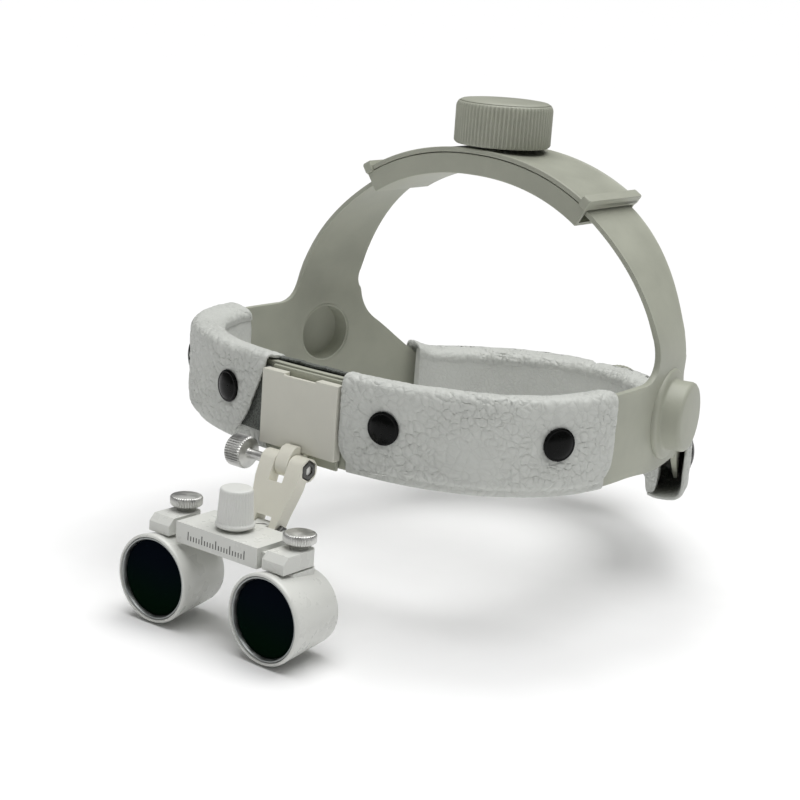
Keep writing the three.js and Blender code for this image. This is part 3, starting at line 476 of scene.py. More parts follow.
def lacquered(name, colour):
    """White lacquer on metal: a little orange peel and a soft gloss."""
    n = Nodes(name)
    cloud = n.noise(60, 3)
    tint = n.colour(n.remap(cloud, 0.3, 0.7), scaled(colour, 0.985), scaled(colour, 1.01))
    peel = n.bump(n.noise(900, 2, 0.4), 0.00006, 0.35)
    n.set(Base_Color=tint, Roughness=n.remap(n.noise(200, 3), 0.3, 0.7, 0.26, 0.38), Normal=peel,
          Coat_Weight=0.15, Coat_Roughness=0.2, Specular_IOR_Level=0.45)
    return n.material


def leather(name, colour, cell=300.0, depth=0.00034):
    """Pebbled leather: rounded grains between thin creases, finer pores and a few long folds, with painted shade
    darkening the creases.
    """
    n = Nodes(name)
    warp = n.add("ShaderNodeTexNoise", Vector=n.place, Scale=120.0, Detail=1.0)
    shift = n.add("ShaderNodeVectorMath", operation="MULTIPLY_ADD")
    for socket, value in zip(shift.inputs, (warp.outputs["Color"], (0.004, 0.004, 0.004), n.place)):
        n.feed(socket, value)

    def edge_distance(scale):
        node = n.add("ShaderNodeTexVoronoi", feature="DISTANCE_TO_EDGE", Vector=shift.outputs[0], Scale=scale)
        return node.outputs["Distance"]

    large, small = edge_distance(cell), edge_distance(cell * 2.6)
    patch = n.remap(n.noise(34, 2), 0.35, 0.65, 0.4, 1.0)
    grain = n.math("ADD", n.remap(large, -0.08, 0.34), n.math("MULTIPLY", n.remap(small, -0.1, 0.3), 0.22))
    grain = n.math("MULTIPLY", grain, patch)
    normal = n.bump(n.remap(n.noise(70, 3, 0.5, distortion=0.8), 0.42, 0.58), 0.0005, 0.25)
    normal = n.bump(grain, depth, 1.0, normal)
    normal = n.bump(n.noise(5200, 2), 0.00003, 0.3, normal)
    tint = n.colour(n.remap(n.noise(28, 3), 0.3, 0.7), scaled(colour, 0.95), scaled(colour, 1.04))
    # Painted shade: the colour darkens, patchily, towards the creases between the grains.
    crease_shade = n.math("MULTIPLY", n.remap(large, 0.07, 0.0), patch)
    tint = n.colour(n.math("MULTIPLY", crease_shade, 0.2), tint, scaled(colour, 0.55))
    n.set(Base_Color=tint, Roughness=n.remap(grain, 0.1, 0.9, 0.6, 0.46), Normal=normal,
          Specular_IOR_Level=0.4)
    return n.material


def suede(name, colour):
    """The napped back of the leather: short fibres, dull at every angle."""
    n = Nodes(name)
    fibre = n.noise(1500, 5, 0.7)
    tint = n.colour(n.remap(fibre, 0.35, 0.68), scaled(colour, 0.45), scaled(colour, 1.7))
    n.set(Base_Color=tint, Roughness=0.95, Normal=n.bump(fibre, 0.0006, 0.9), Sheen_Weight=0.3,
          Specular_IOR_Level=0.1)
    return n.material


def metal(name, colour, roughness=0.3, grain=0.3):
    """Plated steel: fine turning marks and slightly uneven polish."""
    n = Nodes(name)
    cloud = n.noise(300, 3)
    tint = n.colour(n.remap(cloud, 0.3, 0.7), scaled(colour, 0.85), scaled(colour, 1.1))
    marks = n.bump(n.noise(3800, 2, 0.7), 0.00003, grain)
    polish = n.remap(cloud, 0.25, 0.75, roughness - 0.06, roughness + 0.1)
    n.set(Base_Color=tint, Metallic=1.0, Roughness=polish, Normal=marks)
    return n.material


def enamel(name, colour):
    """Baked black enamel with a little dust and a soft sheen."""
    n = Nodes(name)
    dust = n.remap(n.noise(1400, 3), 0.6, 0.72)
    tint = n.colour(n.math("MULTIPLY", dust, 0.03), colour, (0.1, 0.1, 0.1, 1))
    n.set(Base_Color=tint, Roughness=n.remap(n.noise(350, 2), 0.3, 0.7, 0.22, 0.34), Specular_IOR_Level=0.12,
          Normal=n.bump(n.noise(240, 2), 0.0001, 0.1))
    return n.material


def lens_glass(name):
    """Coated glass over a dark barrel: nearly black, with a painted reflection, green low down and blue above.
    """
    n = Nodes(name)
    split = n.add("ShaderNodeSeparateXYZ")
    n.feed(split.inputs[0], n.place)
    # Painted reflection: the base colour goes from green low down to blue above, by height.
    height = n.remap(n.math("ADD", split.outputs["Z"], n.math("MULTIPLY", n.noise(60, 1), 0.006)),
                     (SCOPE_Z - 9) * MM, (SCOPE_Z + 13) * MM)
    tint = n.colour(height, grey(5, 20, 10), grey(8, 13, 20))
    n.set(Base_Color=tint, Roughness=n.remap(n.noise(90, 2), 0.3, 0.7, 0.06, 0.12), Specular_IOR_Level=0.0)
    return n.material


def printed(name):
    """Black printing ink, slightly uneven."""
    n = Nodes(name)
    tint = n.colour(n.remap(n.noise(2500, 3), 0.4, 0.7), grey(20, 20, 20), grey(48, 48, 48))
    n.set(Base_Color=tint, Roughness=0.55, Normal=n.bump(n.noise(3000, 2), 0.00003, 0.3))
    return n.material


LOOKS = {
    "band_plastic": moulded("band_plastic", grey(166, 168, 154), 0.45, 0.03),
    "pad_leather": leather("pad_leather", grey(198, 200, 195)),
    "pad_suede": suede("pad_suede", grey(96, 100, 95)),
    "snap_cap": enamel("snap_cap", grey(5, 6, 5)),
    "bracket_cream": moulded("bracket_cream", grey(204, 203, 192), 0.4, 0.015, 0.06, 0.45, 0.03),
    "white_lacquer": lacquered("white_lacquer", grey(212, 213, 208)),
    "white_plastic": moulded("white_plastic", grey(216, 217, 213), 0.42, 0.02, 0.05, 0.4, 0.03),
    "scale_ink": printed("scale_ink"),
    "satin_steel": metal("satin_steel", grey(208, 208, 205), 0.42),
    "dark_steel": metal("dark_steel", grey(92, 92, 90), 0.35),
    "lens_ring": metal("lens_ring", grey(146, 149, 148), 0.38, 0.2),
    "lens_glass": lens_glass("lens_glass"),
}
# A lighter copy of the bracket cream for the flip arm and the slide: painted light, for the arm's brighter look
# where it slants up.
ARM_CREAM_PAINTED_LIGHT = moulded("arm_cream_painted_light", grey(226, 224, 211), 0.4, 0.015, 0.06, 0.45, 0.03)
LINING = leather("pad_lining", grey(204, 206, 201), 520.0, 0.00022)


def dress(obj, slot_name, body=None, replaces=(), material=None):
    """Gives a piece a material, by default that of its record slot, hides the CAD nodes it replaces, and lets it
    ride on a body.
    """
    obj.data.materials.clear()
    obj.data.materials.append(material or LOOKS[slot_name])
    if replaces:
        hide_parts(*replaces)
    if body:
        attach(obj, body)
    return obj


# ------------------------------------------------------------------ headband moulding

CELL = 1.5  # size of the grid that its outline is cut from
SPLIT_H = 24.0  # height at which the straps leave the band
SPLIT_Y = 18.3  # place at which the rear arms leave it
SPLIT_S = station_at_y(SPLIT_Y)
HOLE_RADIUS = 12.3
STRAP_HALF, ARM_HALF = 15.2, 11.5
TOOTHED, PLAIN, HALF_SLOT = 6.1, 7.2, 16.0  # the adjusting slot: its two sides and half its length


def smooth_union(a, b, reach):
    h = np.clip(0.5 + 0.5 * (b - a) / reach, 0, 1)
    return b + (a - b) * h - reach * h * (1 - h)


def moulding_field(s, h):
    """Signed distance to the moulding's flattened outline, negative inside. s runs along the
    band from the front centre and h up the plate and along the strap."""
    left = s >= 0
    along = np.abs(s)
    y = np.interp(np.minimum(along, HALF_PLAN), PLAN_S, PLAN_Y)
    bottom = mix(BAND_BOTTOM, -16.6, smooth(-34, -4, y))
    band = np.maximum(np.maximum(bottom - h, h - BAND_TOP), along - station_at_y(15.5))
    across = along - STRAP_S
    strap = np.maximum(np.abs(across) - STRAP_HALF, -6 - h)
    off_arm = np.abs(h - arm_middle(y)) / np.hypot(1, arm_slope(y))
    arm = np.maximum(off_arm - ARM_HALF, station_at_y(-3) - along)
    field = smooth_union(smooth_union(band, strap, 11.0), arm, 8.0)
    field = np.where(h > SPLIT_H + 9, strap, field)
    field = np.where(along > SPLIT_S + 14, arm, field)
    field = np.maximum(field, h - arch_height_at_x(-LEG_PASS))
    field = np.maximum(field, along - HALF_PLAN - LEG_PASS)
    hole = HOLE_RADIUS - np.hypot(along - TEMPLE_S, h - TEMPLE["z"])
    low, high = np.where(left, -TOOTHED, -PLAIN), np.where(left, PLAIN, TOOTHED)
    strap_slot = np.minimum(HALF_SLOT - np.abs(h - CROWN_H), np.minimum(across - low, high - across))
    up = h - REAR_Z
    arm_slot = np.minimum(HALF_SLOT - np.abs(along - HALF_PLAN), np.minimum(up + high, -low - up))
    for opening in (hole, strap_slot, arm_slot):
        field = np.maximum(field, opening)
    return field


def moulding_middle(s, h):
    """The moulding's middle surface in space."""
    left = np.where(s >= 0, 1.0, -1.0)
    along = np.abs(s)
    x, y, nx, ny = plan_at(s)
    plan = np.stack([x, y, h], axis=-1)
    ax, az, anx, anz = arch_at(h)
    az = az * (ARCH["height"] + left * LAYER) / ARCH["height"]
    turn = PLATE_TURN * (1 - smooth(SPLIT_H, arch_height_at_x(52), h))
    across = along - STRAP_S
    swing = -np.sin(turn) * across
    arch = np.stack([left * (ax + anx * swing), ARCH["y"] + np.cos(turn) * across, az + anz * swing], axis=-1)
    share = smooth(12, 36, h) * (1 - smooth(19, 30, np.abs(across)))
    shift = left * LAYER * smooth(SPLIT_S, HALF_PLAN - 30, along)
    plan[..., 0] += nx * shift
    plan[..., 1] += ny * shift
    return plan + (arch - plan) * share[..., None]


def moulding_half_thickness(s, h):
    leg = np.maximum(smooth(20, 44, h), smooth(SPLIT_S - 4, SPLIT_S + 22, np.abs(s)))
    return mix(1.2, 0.85, leg)


def outline_mesh():
    """Vertices and faces of the flattened outline: square cells, trimmed along its edge."""
    step = SPLIT_S / round(SPLIT_S / CELL)
    reach = int(math.ceil((HALF_PLAN + LEG_PASS) / step)) + 1
    rows_down = int(math.ceil((SPLIT_H + 44) / CELL))
    rows_up = int(math.ceil((ARCH_H[-1] - SPLIT_H) / CELL))
    s_line = np.arange(-reach, reach + 1) * step
    h_line = SPLIT_H + np.arange(-rows_down, rows_up + 1) * CELL
    s, h = np.meshgrid(s_line, h_line, indexing="ij")
    field = moulding_field(s, h)
    e = 0.02
    gs = (moulding_field(s + e, h) - moulding_field(s - e, h)) / (2 * e)
    gh = (moulding_field(s, h + e) - moulding_field(s, h - e)) / (2 * e)
    size = np.maximum(gs ** 2 + gh ** 2, 0.05)
    near = np.abs(field) < 0.38 * CELL
    s = np.where(near, s - field * gs / size, s)
    h = np.where(near, h - field * gh / size, h)
    field = np.where(near, 0, field)
    points, index_of, faces = [], {}, []

    def vertex(key, position):
        if key not in index_of:
            index_of[key] = len(points)
            points.append(position)
        return index_of[key]

    inside_cells = np.argwhere(
        np.minimum.reduce([field[:-1, :-1], field[1:, :-1], field[1:, 1:], field[:-1, 1:]]) < 0)
    for i, k in inside_cells:
        corners = [(i, k), (i + 1, k), (i + 1, k + 1), (i, k + 1)]
        face = []
        for a, b in face_edges(corners):
            fa, fb = field[a], field[b]
            if fa <= 0:
                face.append(vertex(a, (s[a], h[a])))
            if fa * fb < 0:
                t = fa / (fa - fb)
                key = (min(a, b), max(a, b))
                face.append(vertex(key, (mix(s[a], s[b], t), mix(h[a], h[b], t))))
        if len(face) > 2:
            strap = k >= rows_down
            arm = not strap and abs(s_line[i] + step / 2) > SPLIT_S
            side = "left" if s_line[i] + step / 2 > 0 else "right"
            part = f"{side}_strap" if strap else f"{side}_arm" if arm else "band"
            faces.append((part, face))
    return np.array(points), faces


def moulding_skins():
    """The outline's faces, and the points of the moulding's outer and inner skins."""
    flat, faces = outline_mesh()
    s, h = flat[:, 0], flat[:, 1]
    middle = moulding_middle(s, h)
    e = 0.05
    ds = moulding_middle(s + e, h) - moulding_middle(s - e, h)
    dh = moulding_middle(s, h + e) - moulding_middle(s, h - e)
    normal = np.cross(ds, dh)
    normal /= np.linalg.norm(normal, axis=1, keepdims=True)
    half = moulding_half_thickness(s, h)[:, None]
    return faces, middle + normal * half, middle - normal * half


def face_edges(face):
    return zip(face, face[1:] + face[:1])


def moulding_piece(part, faces, outer, inner, uses):
    """One part of the moulding. It is open where it meets the next part and bevelled along its rim."""
    bm = bmesh.new()
    out, inn, rim = {}, {}, []
    own = [face for name, face in faces if name == part]
    for face in own:
        for i in face:
            if i not in out:
                out[i] = bm.verts.new(Vector(outer[i]) * MM)
                inn[i] = bm.verts.new(Vector(inner[i]) * MM)
    for face in own:
        bm.faces.new([out[i] for i in face])
        bm.faces.new([inn[i] for i in reversed(face)])
    for face in own:
        for a, b in face_edges(face):
            if uses[frozenset((a, b))] == 1:
                bm.faces.new([out[b], out[a], inn[a], inn[b]])
                rim += [bm.edges.get((out[a], out[b])), bm.edges.get((inn[a], inn[b]))]
    bmesh.ops.bevel(bm, geom=rim, offset=0.4 * MM, segments=2, profile=0.6, affect="EDGES",
                    clamp_overlap=False)
    mesh = bpy.data.meshes.new(f"moulding_{part}")
    bm.to_mesh(mesh)
    bm.free()
    mesh.shade_smooth()
    mesh.set_sharp_from_angle(angle=math.radians(50))
    return new_object(f"moulding_{part}", mesh)


def build_moulding():
    faces, outer, inner = moulding_skins()
    uses = {}
    for _, face in faces:
        for a, b in face_edges(face):
            uses[frozenset((a, b))] = uses.get(frozenset((a, b)), 0) + 1
    pieces = {part: moulding_piece(part, faces, outer, inner, uses)
              for part in ("band", "left_strap", "right_strap", "left_arm", "right_arm")}
    dress(pieces["band"], "band_plastic", "headband", ["front_band"])
    for side, sign in SIDES:
        strap, arm = pieces[f"{side}_strap"], pieces[f"{side}_arm"]
        dress(strap, "band_plastic", replaces=[f"{side}_strap"])
        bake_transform(strap)
        dress(arm, "band_plastic", replaces=[f"{side}_rear_arm"])
        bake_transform(arm)


def plan_matrix(s, z, offset=0.0):
    """A frame whose +Z points outwards from the band at a place along it."""
    x, y, nx, ny = (float(v) for v in plan_at(s))
    out = Vector((nx, ny, 0))
    up = Vector((0, 0, 1))
    across = up.cross(out)
    matrix = Matrix((across, up, out)).transposed().to_4x4()
    matrix.translation = Vector((x, y, z)) + out * offset
    return matrix


def build_bosses():
    """The hollow round boss on each temple plate."""
    profile = [(0, 10.0), (11.2, 10.0), (12.1, 9.75), (12.75, 9.2), (13.0, 8.4), (13.0, 3.3), (13.25, 2.75),
               (13.8, 2.45), (15.9, 2.4), (16.6, 2.1), (17.0, 1.4), (17.05, 0.4), (12.5, 0.4), (12.45, -1.05),
               (12.1, -1.32), (11.6, -1.32), (11.35, -1.1), (11.3, 5.6), (11.1, 6.1), (10.6, 6.3), (0, 6.3)]
    for side, sign in SIDES:
        boss = lathe(f"temple_boss_{side}", profile, 96, plan_matrix(sign * TEMPLE_S, TEMPLE["z"]))
        dress(boss, "band_plastic", "headband")


# ------------------------------------------------------------------ adjusters

KNOB_RIBS = 72
KNOB_BOTTOM, KNOB_TOP = 5.8, 21.8
KNOB_RADIUS = dict(crown=18.6, rear=13.6)
CROWN_LOW_X, CROWN_HALF = 49.5, 17.4  # the crown housing's ends and half its width
REAR_LENGTH, REAR_HALF = 30, 13.5  # half the rear housing's length and half its width


def arch_frames(low_x, count):
    """Frames along the crown: origin, across and outwards."""
    heights = np.linspace(arch_height_at_x(low_x), 2 * CROWN_H - arch_height_at_x(low_x), count)
    x, z, nx, nz = arch_at(np.minimum(heights, 2 * CROWN_H - heights))
    flip = np.where(heights > CROWN_H, -1.0, 1.0)
    return [((f * a, ARCH["y"], b), (0, 1, 0), (f * c, 0, d)) for a, b, c, d, f in zip(x, z, nx, nz, flip)]


def nape_frames(half, count):
    """Frames round the back of the head: origin, across and outwards."""
    x, y, nx, ny = plan_at(np.linspace(HALF_PLAN - half, HALF_PLAN + half, count))
    return [((a, b, REAR_Z), (0, 0, 1), (c, d, 0)) for a, b, c, d in zip(x, y, nx, ny)]


def section_rings(frames, outline):
    """A cross-section of (across, outwards) points, set at each frame."""
    outline = np.array(outline)
    rings = []
    for origin, across, out in frames:
        rings.append(np.array(origin) + outline[:, :1] * np.array(across) + outline[:, 1:] * np.array(out))
    return rings


def build_housing(prefix, frames, half, lip_count):
    """An adjuster's curved tray, and its cover with a raised lip at each end."""
    inner = half - 1.4
    base = [(-half + 0.3, -5.0), (half - 0.3, -5.0), (half, 2.7), (inner, 2.7), (inner, -3.7), (-inner, -3.7),
            (-inner, 2.7), (-half, 2.7)]
    cover = [(-half, 3.0), (half, 3.0), (half, 4.8), (half - 0.9, 4.95), (half - 1.4, 4.6), (1.4 - half, 4.6),
             (0.9 - half, 4.95), (-half, 4.8)]
    lip = [(-half - 0.8, 2.5), (half + 0.8, 2.5), (half + 0.8, 6.9), (-half - 0.8, 6.9)]
    body = f"{prefix}_housing"
    shell = loft(f"{prefix}_housing_base", section_rings(frames, round_corners(base, 0.45, 3)), 0.3)
    dress(shell, "band_plastic", body, [f"{prefix}_base"])
    plate = loft(f"{prefix}_housing_cover", section_rings(frames, round_corners(cover, 0.35, 3)), 0.3)
    dress(plate, "band_plastic", body, [f"{prefix}_cover"])
    for name, part in (("a", frames[:lip_count]), ("b", frames[-lip_count:])):
        bar = loft(f"{prefix}_cover_lip_{name}", section_rings(part, round_corners(lip, 0.6, 4)), 0.6)
        dress(bar, "band_plastic", body)


def build_knob(prefix, matrix):
    """A hollow ribbed knob with a separate cap disc sunk in its top."""
    bottom, top, radius = KNOB_BOTTOM, KNOB_TOP, KNOB_RADIUS[prefix]
    edge = radius - 1.5
    profile = [(3.0, 6.2), (5.0, 6.2), (5.0, 18.4), (radius - 2.1, 18.4), (radius - 2.1, bottom + 0.5),
               (radius - 1.6, bottom), (radius - 0.9, bottom), (radius - 0.3, bottom + 0.5),
               (radius, bottom + 1.0), (radius, top - 2.1), (radius - 0.1, top - 1.5), (radius - 0.5, top - 0.6),
               (radius - 0.9, top), (edge + 0.3, top), (edge + 0.15, top - 0.9), (3.0, top - 0.9)]

    ribs_round = round(KNOB_RIBS * radius / KNOB_RADIUS["crown"])

    def ribs(r, height, angle):
        if r < radius - 0.4 or not bottom + 0.3 < height < top - 1.2:
            return r
        wave = 0.5 + 0.5 * math.cos(ribs_round * angle)
        return r - 0.75 * (1 - wave) ** 1.2

    knob = lathe(f"{prefix}_ribbed_knob", profile, ribs_round * 8, matrix, ribs)
    knob.data.set_sharp_from_angle(angle=math.radians(60))
    dress(knob, "band_plastic", f"{prefix}_adjuster", [f"{prefix}_knob"])
    cap = [(0, top - 0.6), (edge - 0.2, top - 0.6), (edge, top - 0.4), (edge, top + 0.25),
           (edge - 0.25, top + 0.5), (edge - 0.9, top + 0.75), (edge - 3, top + 1.0), (edge - 7, top + 1.12),
           (0, top + 1.2)]
    disc = lathe(f"{prefix}_cap_disc", cap, 96, matrix)
    dress(disc, "band_plastic", f"{prefix}_adjuster", [f"{prefix}_knob_cap"])


def build_adjusters():
    build_housing("crown", arch_frames(CROWN_LOW_X, 97), CROWN_HALF, 4)
    build_knob("crown", Matrix.Translation((0, ARCH["y"], ARCH["height"])))
    build_housing("rear", nape_frames(REAR_LENGTH, 65), REAR_HALF, 6)
    build_knob("rear", Matrix.Translation((0, REAR_Y, REAR_Z)) @ Matrix.Rotation(-math.pi / 2, 4, "X"))


# ------------------------------------------------------------------ leather pads

SNAP_Z = 4.4
FRONT_SNAPS = dict(left=(station_at_x(34.0), station_at_y(-70.6)),
                   right=(station_at_x(36.5), station_at_y(-74.0)))
REAR_SNAPS = (("inner", 66), ("outer", 47))
FRONT_END, FRONT_GAP = station_at_y(-47.6), station_at_x(17.7)
REAR_ENDS = dict(left=27, right=42.5)


def wobble(s, t, seed, amount):
    """Soft, repeatable unevenness from a few crossed waves."""
    total = np.zeros(np.broadcast(s, t).shape)
    for k in range(1, 6):
        a = 0.045 * k ** 1.25
        across = np.sin(a * s * (1.7 + 0.13 * seed) + 1.9 * k + seed)
        total = total + across * np.sin(a * 2.1 * t + 0.7 * k * seed) / k ** 0.6
    return amount * total / 2.2


def scatter(a, b, seed, weights, stretch):
    """A repeatable angle that looks random from one cell of a grid to the next."""
    return np.sin(a * weights[0] + b * weights[1] + seed) * stretch


def pebbles(s, t, size, seed):
    """Height from 0 in the creases to 1 on top of rounded leather grains, each one jittered on a grid."""
    s, t = np.broadcast_arrays(s / size, t / size)
    nearest = np.full(s.shape, 9.0)
    second = np.full(s.shape, 9.0)
    for i in (-1, 0, 1):
        for k in (-1, 0, 1):
            a, b = np.floor(s) + i, np.floor(t) + k
            along = 0.42 * np.sin(scatter(a, b, seed, (127.1, 311.7), 43758.5453))
            across = 0.42 * np.sin(scatter(a, b, seed, (269.5, 183.3), 27183.2818))
            away = np.hypot(a + 0.5 + along - s, b + 0.5 + across - t)
            second = np.minimum(second, np.maximum(nearest, away))
            nearest = np.minimum(nearest, away)
    return smooth(0.0, 0.3, second - nearest) * (1 - 0.5 * nearest ** 2)


def to_space(s, u, z):
    """Points at lengths s along the band, u outwards from its middle and z up."""
    x, y, nx, ny = plan_at(s)
    return np.stack([x + nx * u, y + ny * u, z + 0 * x], axis=-1)


def padded_core(name, stations, inner, outer, middle, half, seed, swell=0.55):
    """The foam side of a pad: a crowned rounded strip against the head."""
    angle = np.linspace(0, 2 * math.pi, 41)[:-1]
    power = 2 / 3.4
    cu = np.sign(np.cos(angle)) * np.abs(np.cos(angle)) ** power
    cz = np.sign(np.sin(angle)) * np.abs(np.sin(angle)) ** power
    s = stations[:, None]
    ease = np.minimum(1, np.minimum(stations - stations[0], stations[-1] - stations) / 5.0)
    pinch = (0.72 + 0.28 * np.sqrt(np.clip(ease, 0, 1)))[:, None]
    z = middle[:, None] + half[:, None] * cz * (0.97 + 0.03 * pinch)
    thick = (outer - inner) / 2
    face = np.clip(-cu, 0, 1)
    u = outer - thick + thick * cu * np.where(cu < 0, pinch, 1.0)
    u = u - face * swell * (1 - cz ** 2) * pinch + face * wobble(s, z, seed, 0.35)
    u = np.maximum(u, inner - 0.9)
    return loft(name, to_space(np.broadcast_to(s, u.shape), u, z), 1.2)


def snap_dimple(s, z, places):
    """How far the leather is drawn in round the press studs, with short creases about each."""
    depth = np.zeros(np.broadcast(s, z).shape)
    for at_s, at_z in places:
        away = np.hypot(s - at_s, z - at_z)
        angle = np.arctan2(z - at_z, s - at_s)
        depth = depth + 0.75 * np.exp(-((away / 7.5) ** 2))
        ring = np.exp(-(((away - 9.5) / 5.0) ** 2))
        depth = depth + 0.16 * ring * np.cos(11 * angle + 2 * np.sin(3 * angle))
    return depth


def crease(s, z, start, end):
    """A groove along a line on the flap, fading at both ends."""
    along = np.subtract(end, start)
    length = np.hypot(*along)
    share = ((s - start[0]) * along[0] + (z - start[1]) * along[1]) / length ** 2
    bow = 0.9 * np.sin(share * 4.2) * np.clip(share, 0, 1)
    off = ((s - start[0]) * along[1] - (z - start[1]) * along[0]) / length - bow
    return np.exp(-((off / 0.8) ** 2)) * smooth(-0.05, 0.2, share) * (1 - smooth(0.8, 1.05, share))


def folded_flap(name, path, starts, ends, lift, dimples, seed, fullness=0.0, grain=3.3):
    """Leather folded over the top edge of a pad and down its outside.
    path holds (u, z) points from the inside to the lower edge. starts and ends give where each of them
    begins and ends along the band, and lift places a height of the path on the head."""
    path = np.array(path, float)
    knots = np.concatenate([[0], np.cumsum(np.hypot(*np.diff(path, axis=0).T))])
    fine = np.linspace(0, knots[-1], 92)
    u_line, z_line = np.interp(fine, knots, path[:, 0]), np.interp(fine, knots, path[:, 1])
    for _ in range(2):
        u_line[1:-1] = (u_line[:-2] + 2 * u_line[1:-1] + u_line[2:]) / 4
        z_line[1:-1] = (z_line[:-2] + 2 * z_line[1:-1] + z_line[2:]) / 4
    out_u, out_z = -np.gradient(z_line), np.gradient(u_line)
    size = np.hypot(out_u, out_z)
    low, high = starts(u_line, z_line)[None, :], ends(u_line, z_line)[None, :]
    s = low + (high - low) * np.linspace(0, 1, 230)[:, None]
    z = lift(s, z_line[None, :])
    outside = smooth(0.5, 2.5, u_line)[None, :]
    edge = np.minimum(fine, knots[-1] - fine)[None, :]
    side = np.minimum(np.abs(s - low), np.abs(high - s))
    calm = smooth(0, 2.0, np.minimum(edge, side))
    for at_s, at_z in dimples:
        calm = calm * (1 - outside * (1 - smooth(5.5, 8.5, np.hypot(s - at_s, z - at_z))))
    patch = 0.6 + 0.4 * np.sin(0.11 * s + seed) * np.sin(0.16 * fine[None, :] + 0.6 * seed)
    rise = wobble(s, fine[None, :] * 1.3, seed, 0.22) - outside * snap_dimple(s, z, dimples)
    bent = wobble(s * 2.2, fine[None, :] * 2.4, seed + 5, 1.6)
    rise += 0.55 * patch * calm * pebbles(s + bent, fine[None, :] * 1.15 + bent, grain, seed)
    rise += fullness * outside * (1 - smooth(0, 13, np.abs(s - low)))
    for at_s, at_z in dimples[:1]:
        way = math.copysign(1, at_s)
        for lean in range(5):
            start = (at_s - way * (16.5 - 2.6 * lean), at_z + 13 + 0.4 * lean)
            end = (at_s - way * (5.5 - 1.2 * lean), at_z + 1.5 + lean)
            rise -= 0.3 * outside * crease(s, z, start, end)
            start = (at_s + way * 6.5, at_z - 1 - 1.5 * lean)
            end = (at_s + way * (17 - 2 * lean), at_z - 5 - 4.0 * lean)
            rise -= 0.22 * outside * crease(s, z, start, end)
    u = u_line[None, :] + rise * (out_u / size)[None, :]
    z = z + rise * (out_z / size)[None, :]
    half = 0.95 * (0.5 + 0.5 * smooth(0, 2.0, np.minimum(edge, side)))
    return sheet(name, to_space(s, u, z), half, 0.3)


def corner_cut(z, bottom, radius):
    """How far a rounded lower corner of a flap is set back at this height."""
    return radius - np.sqrt(np.clip(radius ** 2 - np.clip(bottom + radius - z, 0, radius) ** 2, 0, None))


def build_front_pad():
    """The forehead pad: a foam core, and on each side of the bracket a flap folded over the band."""
    stations = np.linspace(-FRONT_END, FRONT_END, 241)
    count = len(stations)
    core = padded_core("front_pad_core", stations, -7.3, -1.5, np.full(count, 0.6), np.full(count, 15.8), 1)
    dress(core, "pad_leather", "headband", ["front_cushion"], LINING)
    path = [(-6.6, 14.2), (-6.4, 16.2), (-5.2, 17.5), (-2.6, 18.4), (0.6, 18.9), (2.9, 19.0), (4.0, 18.3),
            (4.4, 16.5), (4.4, 12), (4.4, 4), (4.3, -5), (3.7, -12.2)]
    for side, sign in SIDES:
        def starts(u, z, sign=sign):
            near = corner_cut(z, -12.2, 9.5)
            far = 0.43 * np.clip(16 - z, 0, 40) + 0.6 * corner_cut(z, -12.2, 11)
            return sign * (FRONT_GAP + (near if sign > 0 else far) * smooth(0.5, 2.5, u))

        def ends(u, z, sign=sign):
            return sign * (FRONT_END - corner_cut(z, -12.2, 8.5) * smooth(0.5, 2.5, u))

        flap = folded_flap(f"front_flap_{side}", path, starts, ends, lambda s, z: z + 0 * s,
                           [(sign * s, SNAP_Z) for s in FRONT_SNAPS[side]], 3 + sign,
                           1.3 if sign > 0 else 0.5)
        dress(flap, "pad_leather", "headband")
        first, last = sign * (FRONT_GAP + 0.9), sign * (FRONT_END - 0.4)
        build_wrap(f"front_wrap_{side}", first, last, "pad_leather", 0.45)
    build_wrap("front_suede_backing", -station_at_x(17.6), -station_at_x(33.0), "pad_suede", 0.5)
    build_suede_edge()


def build_suede_edge():
    """The back of the leather where it passes behind the top of the bracket."""
    suede_top = np.array([(-6.2, 15.4), (-5.6, 17.4), (-4.0, 18.2), (-2.2, 18.1)])
    s = np.linspace(-FRONT_GAP - 1.5, FRONT_GAP + 1.5, 60)[:, None]
    u = suede_top[:, 0] + wobble(s * 3, suede_top[:, 0] * 9, 5, 0.25)
    z = suede_top[:, 1] + wobble(s * 4, suede_top[:, 1] * 7, 7, 0.3)
    edge = sheet("front_suede_edge", to_space(np.broadcast_to(s, u.shape), u, z), np.full(u.shape, 0.45), 0.2)
    dress(edge, "pad_suede", "headband")


def build_wrap(name, start, end, slot_name, half_thick):
    """Leather turned up round the band's lower edge, or the suede behind the flap's slanted end."""
    turned_up = [(-4.2, -14.6), (-2.4, -15.05), (0.2, -15.1), (1.35, -14.7), (1.8, -13.6), (1.85, -9.0)]
    backing = [(1.75, -10.0), (1.8, -8.0), (1.85, 4.0), (1.85, 15.5)]
    path = np.array(turned_up if slot_name == "pad_leather" else backing)
    s = np.linspace(start, end, 110)[:, None]
    u = np.broadcast_to(path[:, 0], (110, len(path))).copy()
    z = np.broadcast_to(path[:, 1], u.shape) + wobble(s, path[:, 1], 4, 0.12)
    piece = sheet(name, to_space(np.broadcast_to(s, u.shape), u, z), np.full(u.shape, half_thick), 0.2)
    dress(piece, slot_name, "headband")


def rear_pad_edges(y):
    """Heights of the rear pad's top and bottom edges: near its ends the top rises over the arms."""
    over_arm = arm_middle(y) + ARM_HALF * np.hypot(1, arm_slope(y)) + 4.4
    top = np.logaddexp(over_arm * 0.8, (REAR_Z + 17.5) * 0.8) / 0.8 - 0.2
    return top, REAR_Z - 17.2 + 4 * (1 - smooth(27, 60, y))


def rear_station(x):
    """Length along the plan to the rear place where the left side is this far from the middle."""
    behind = PLAN_Y > 0
    return float(PLAN_S[behind][np.argmax(PLAN_X[behind] <= x)])


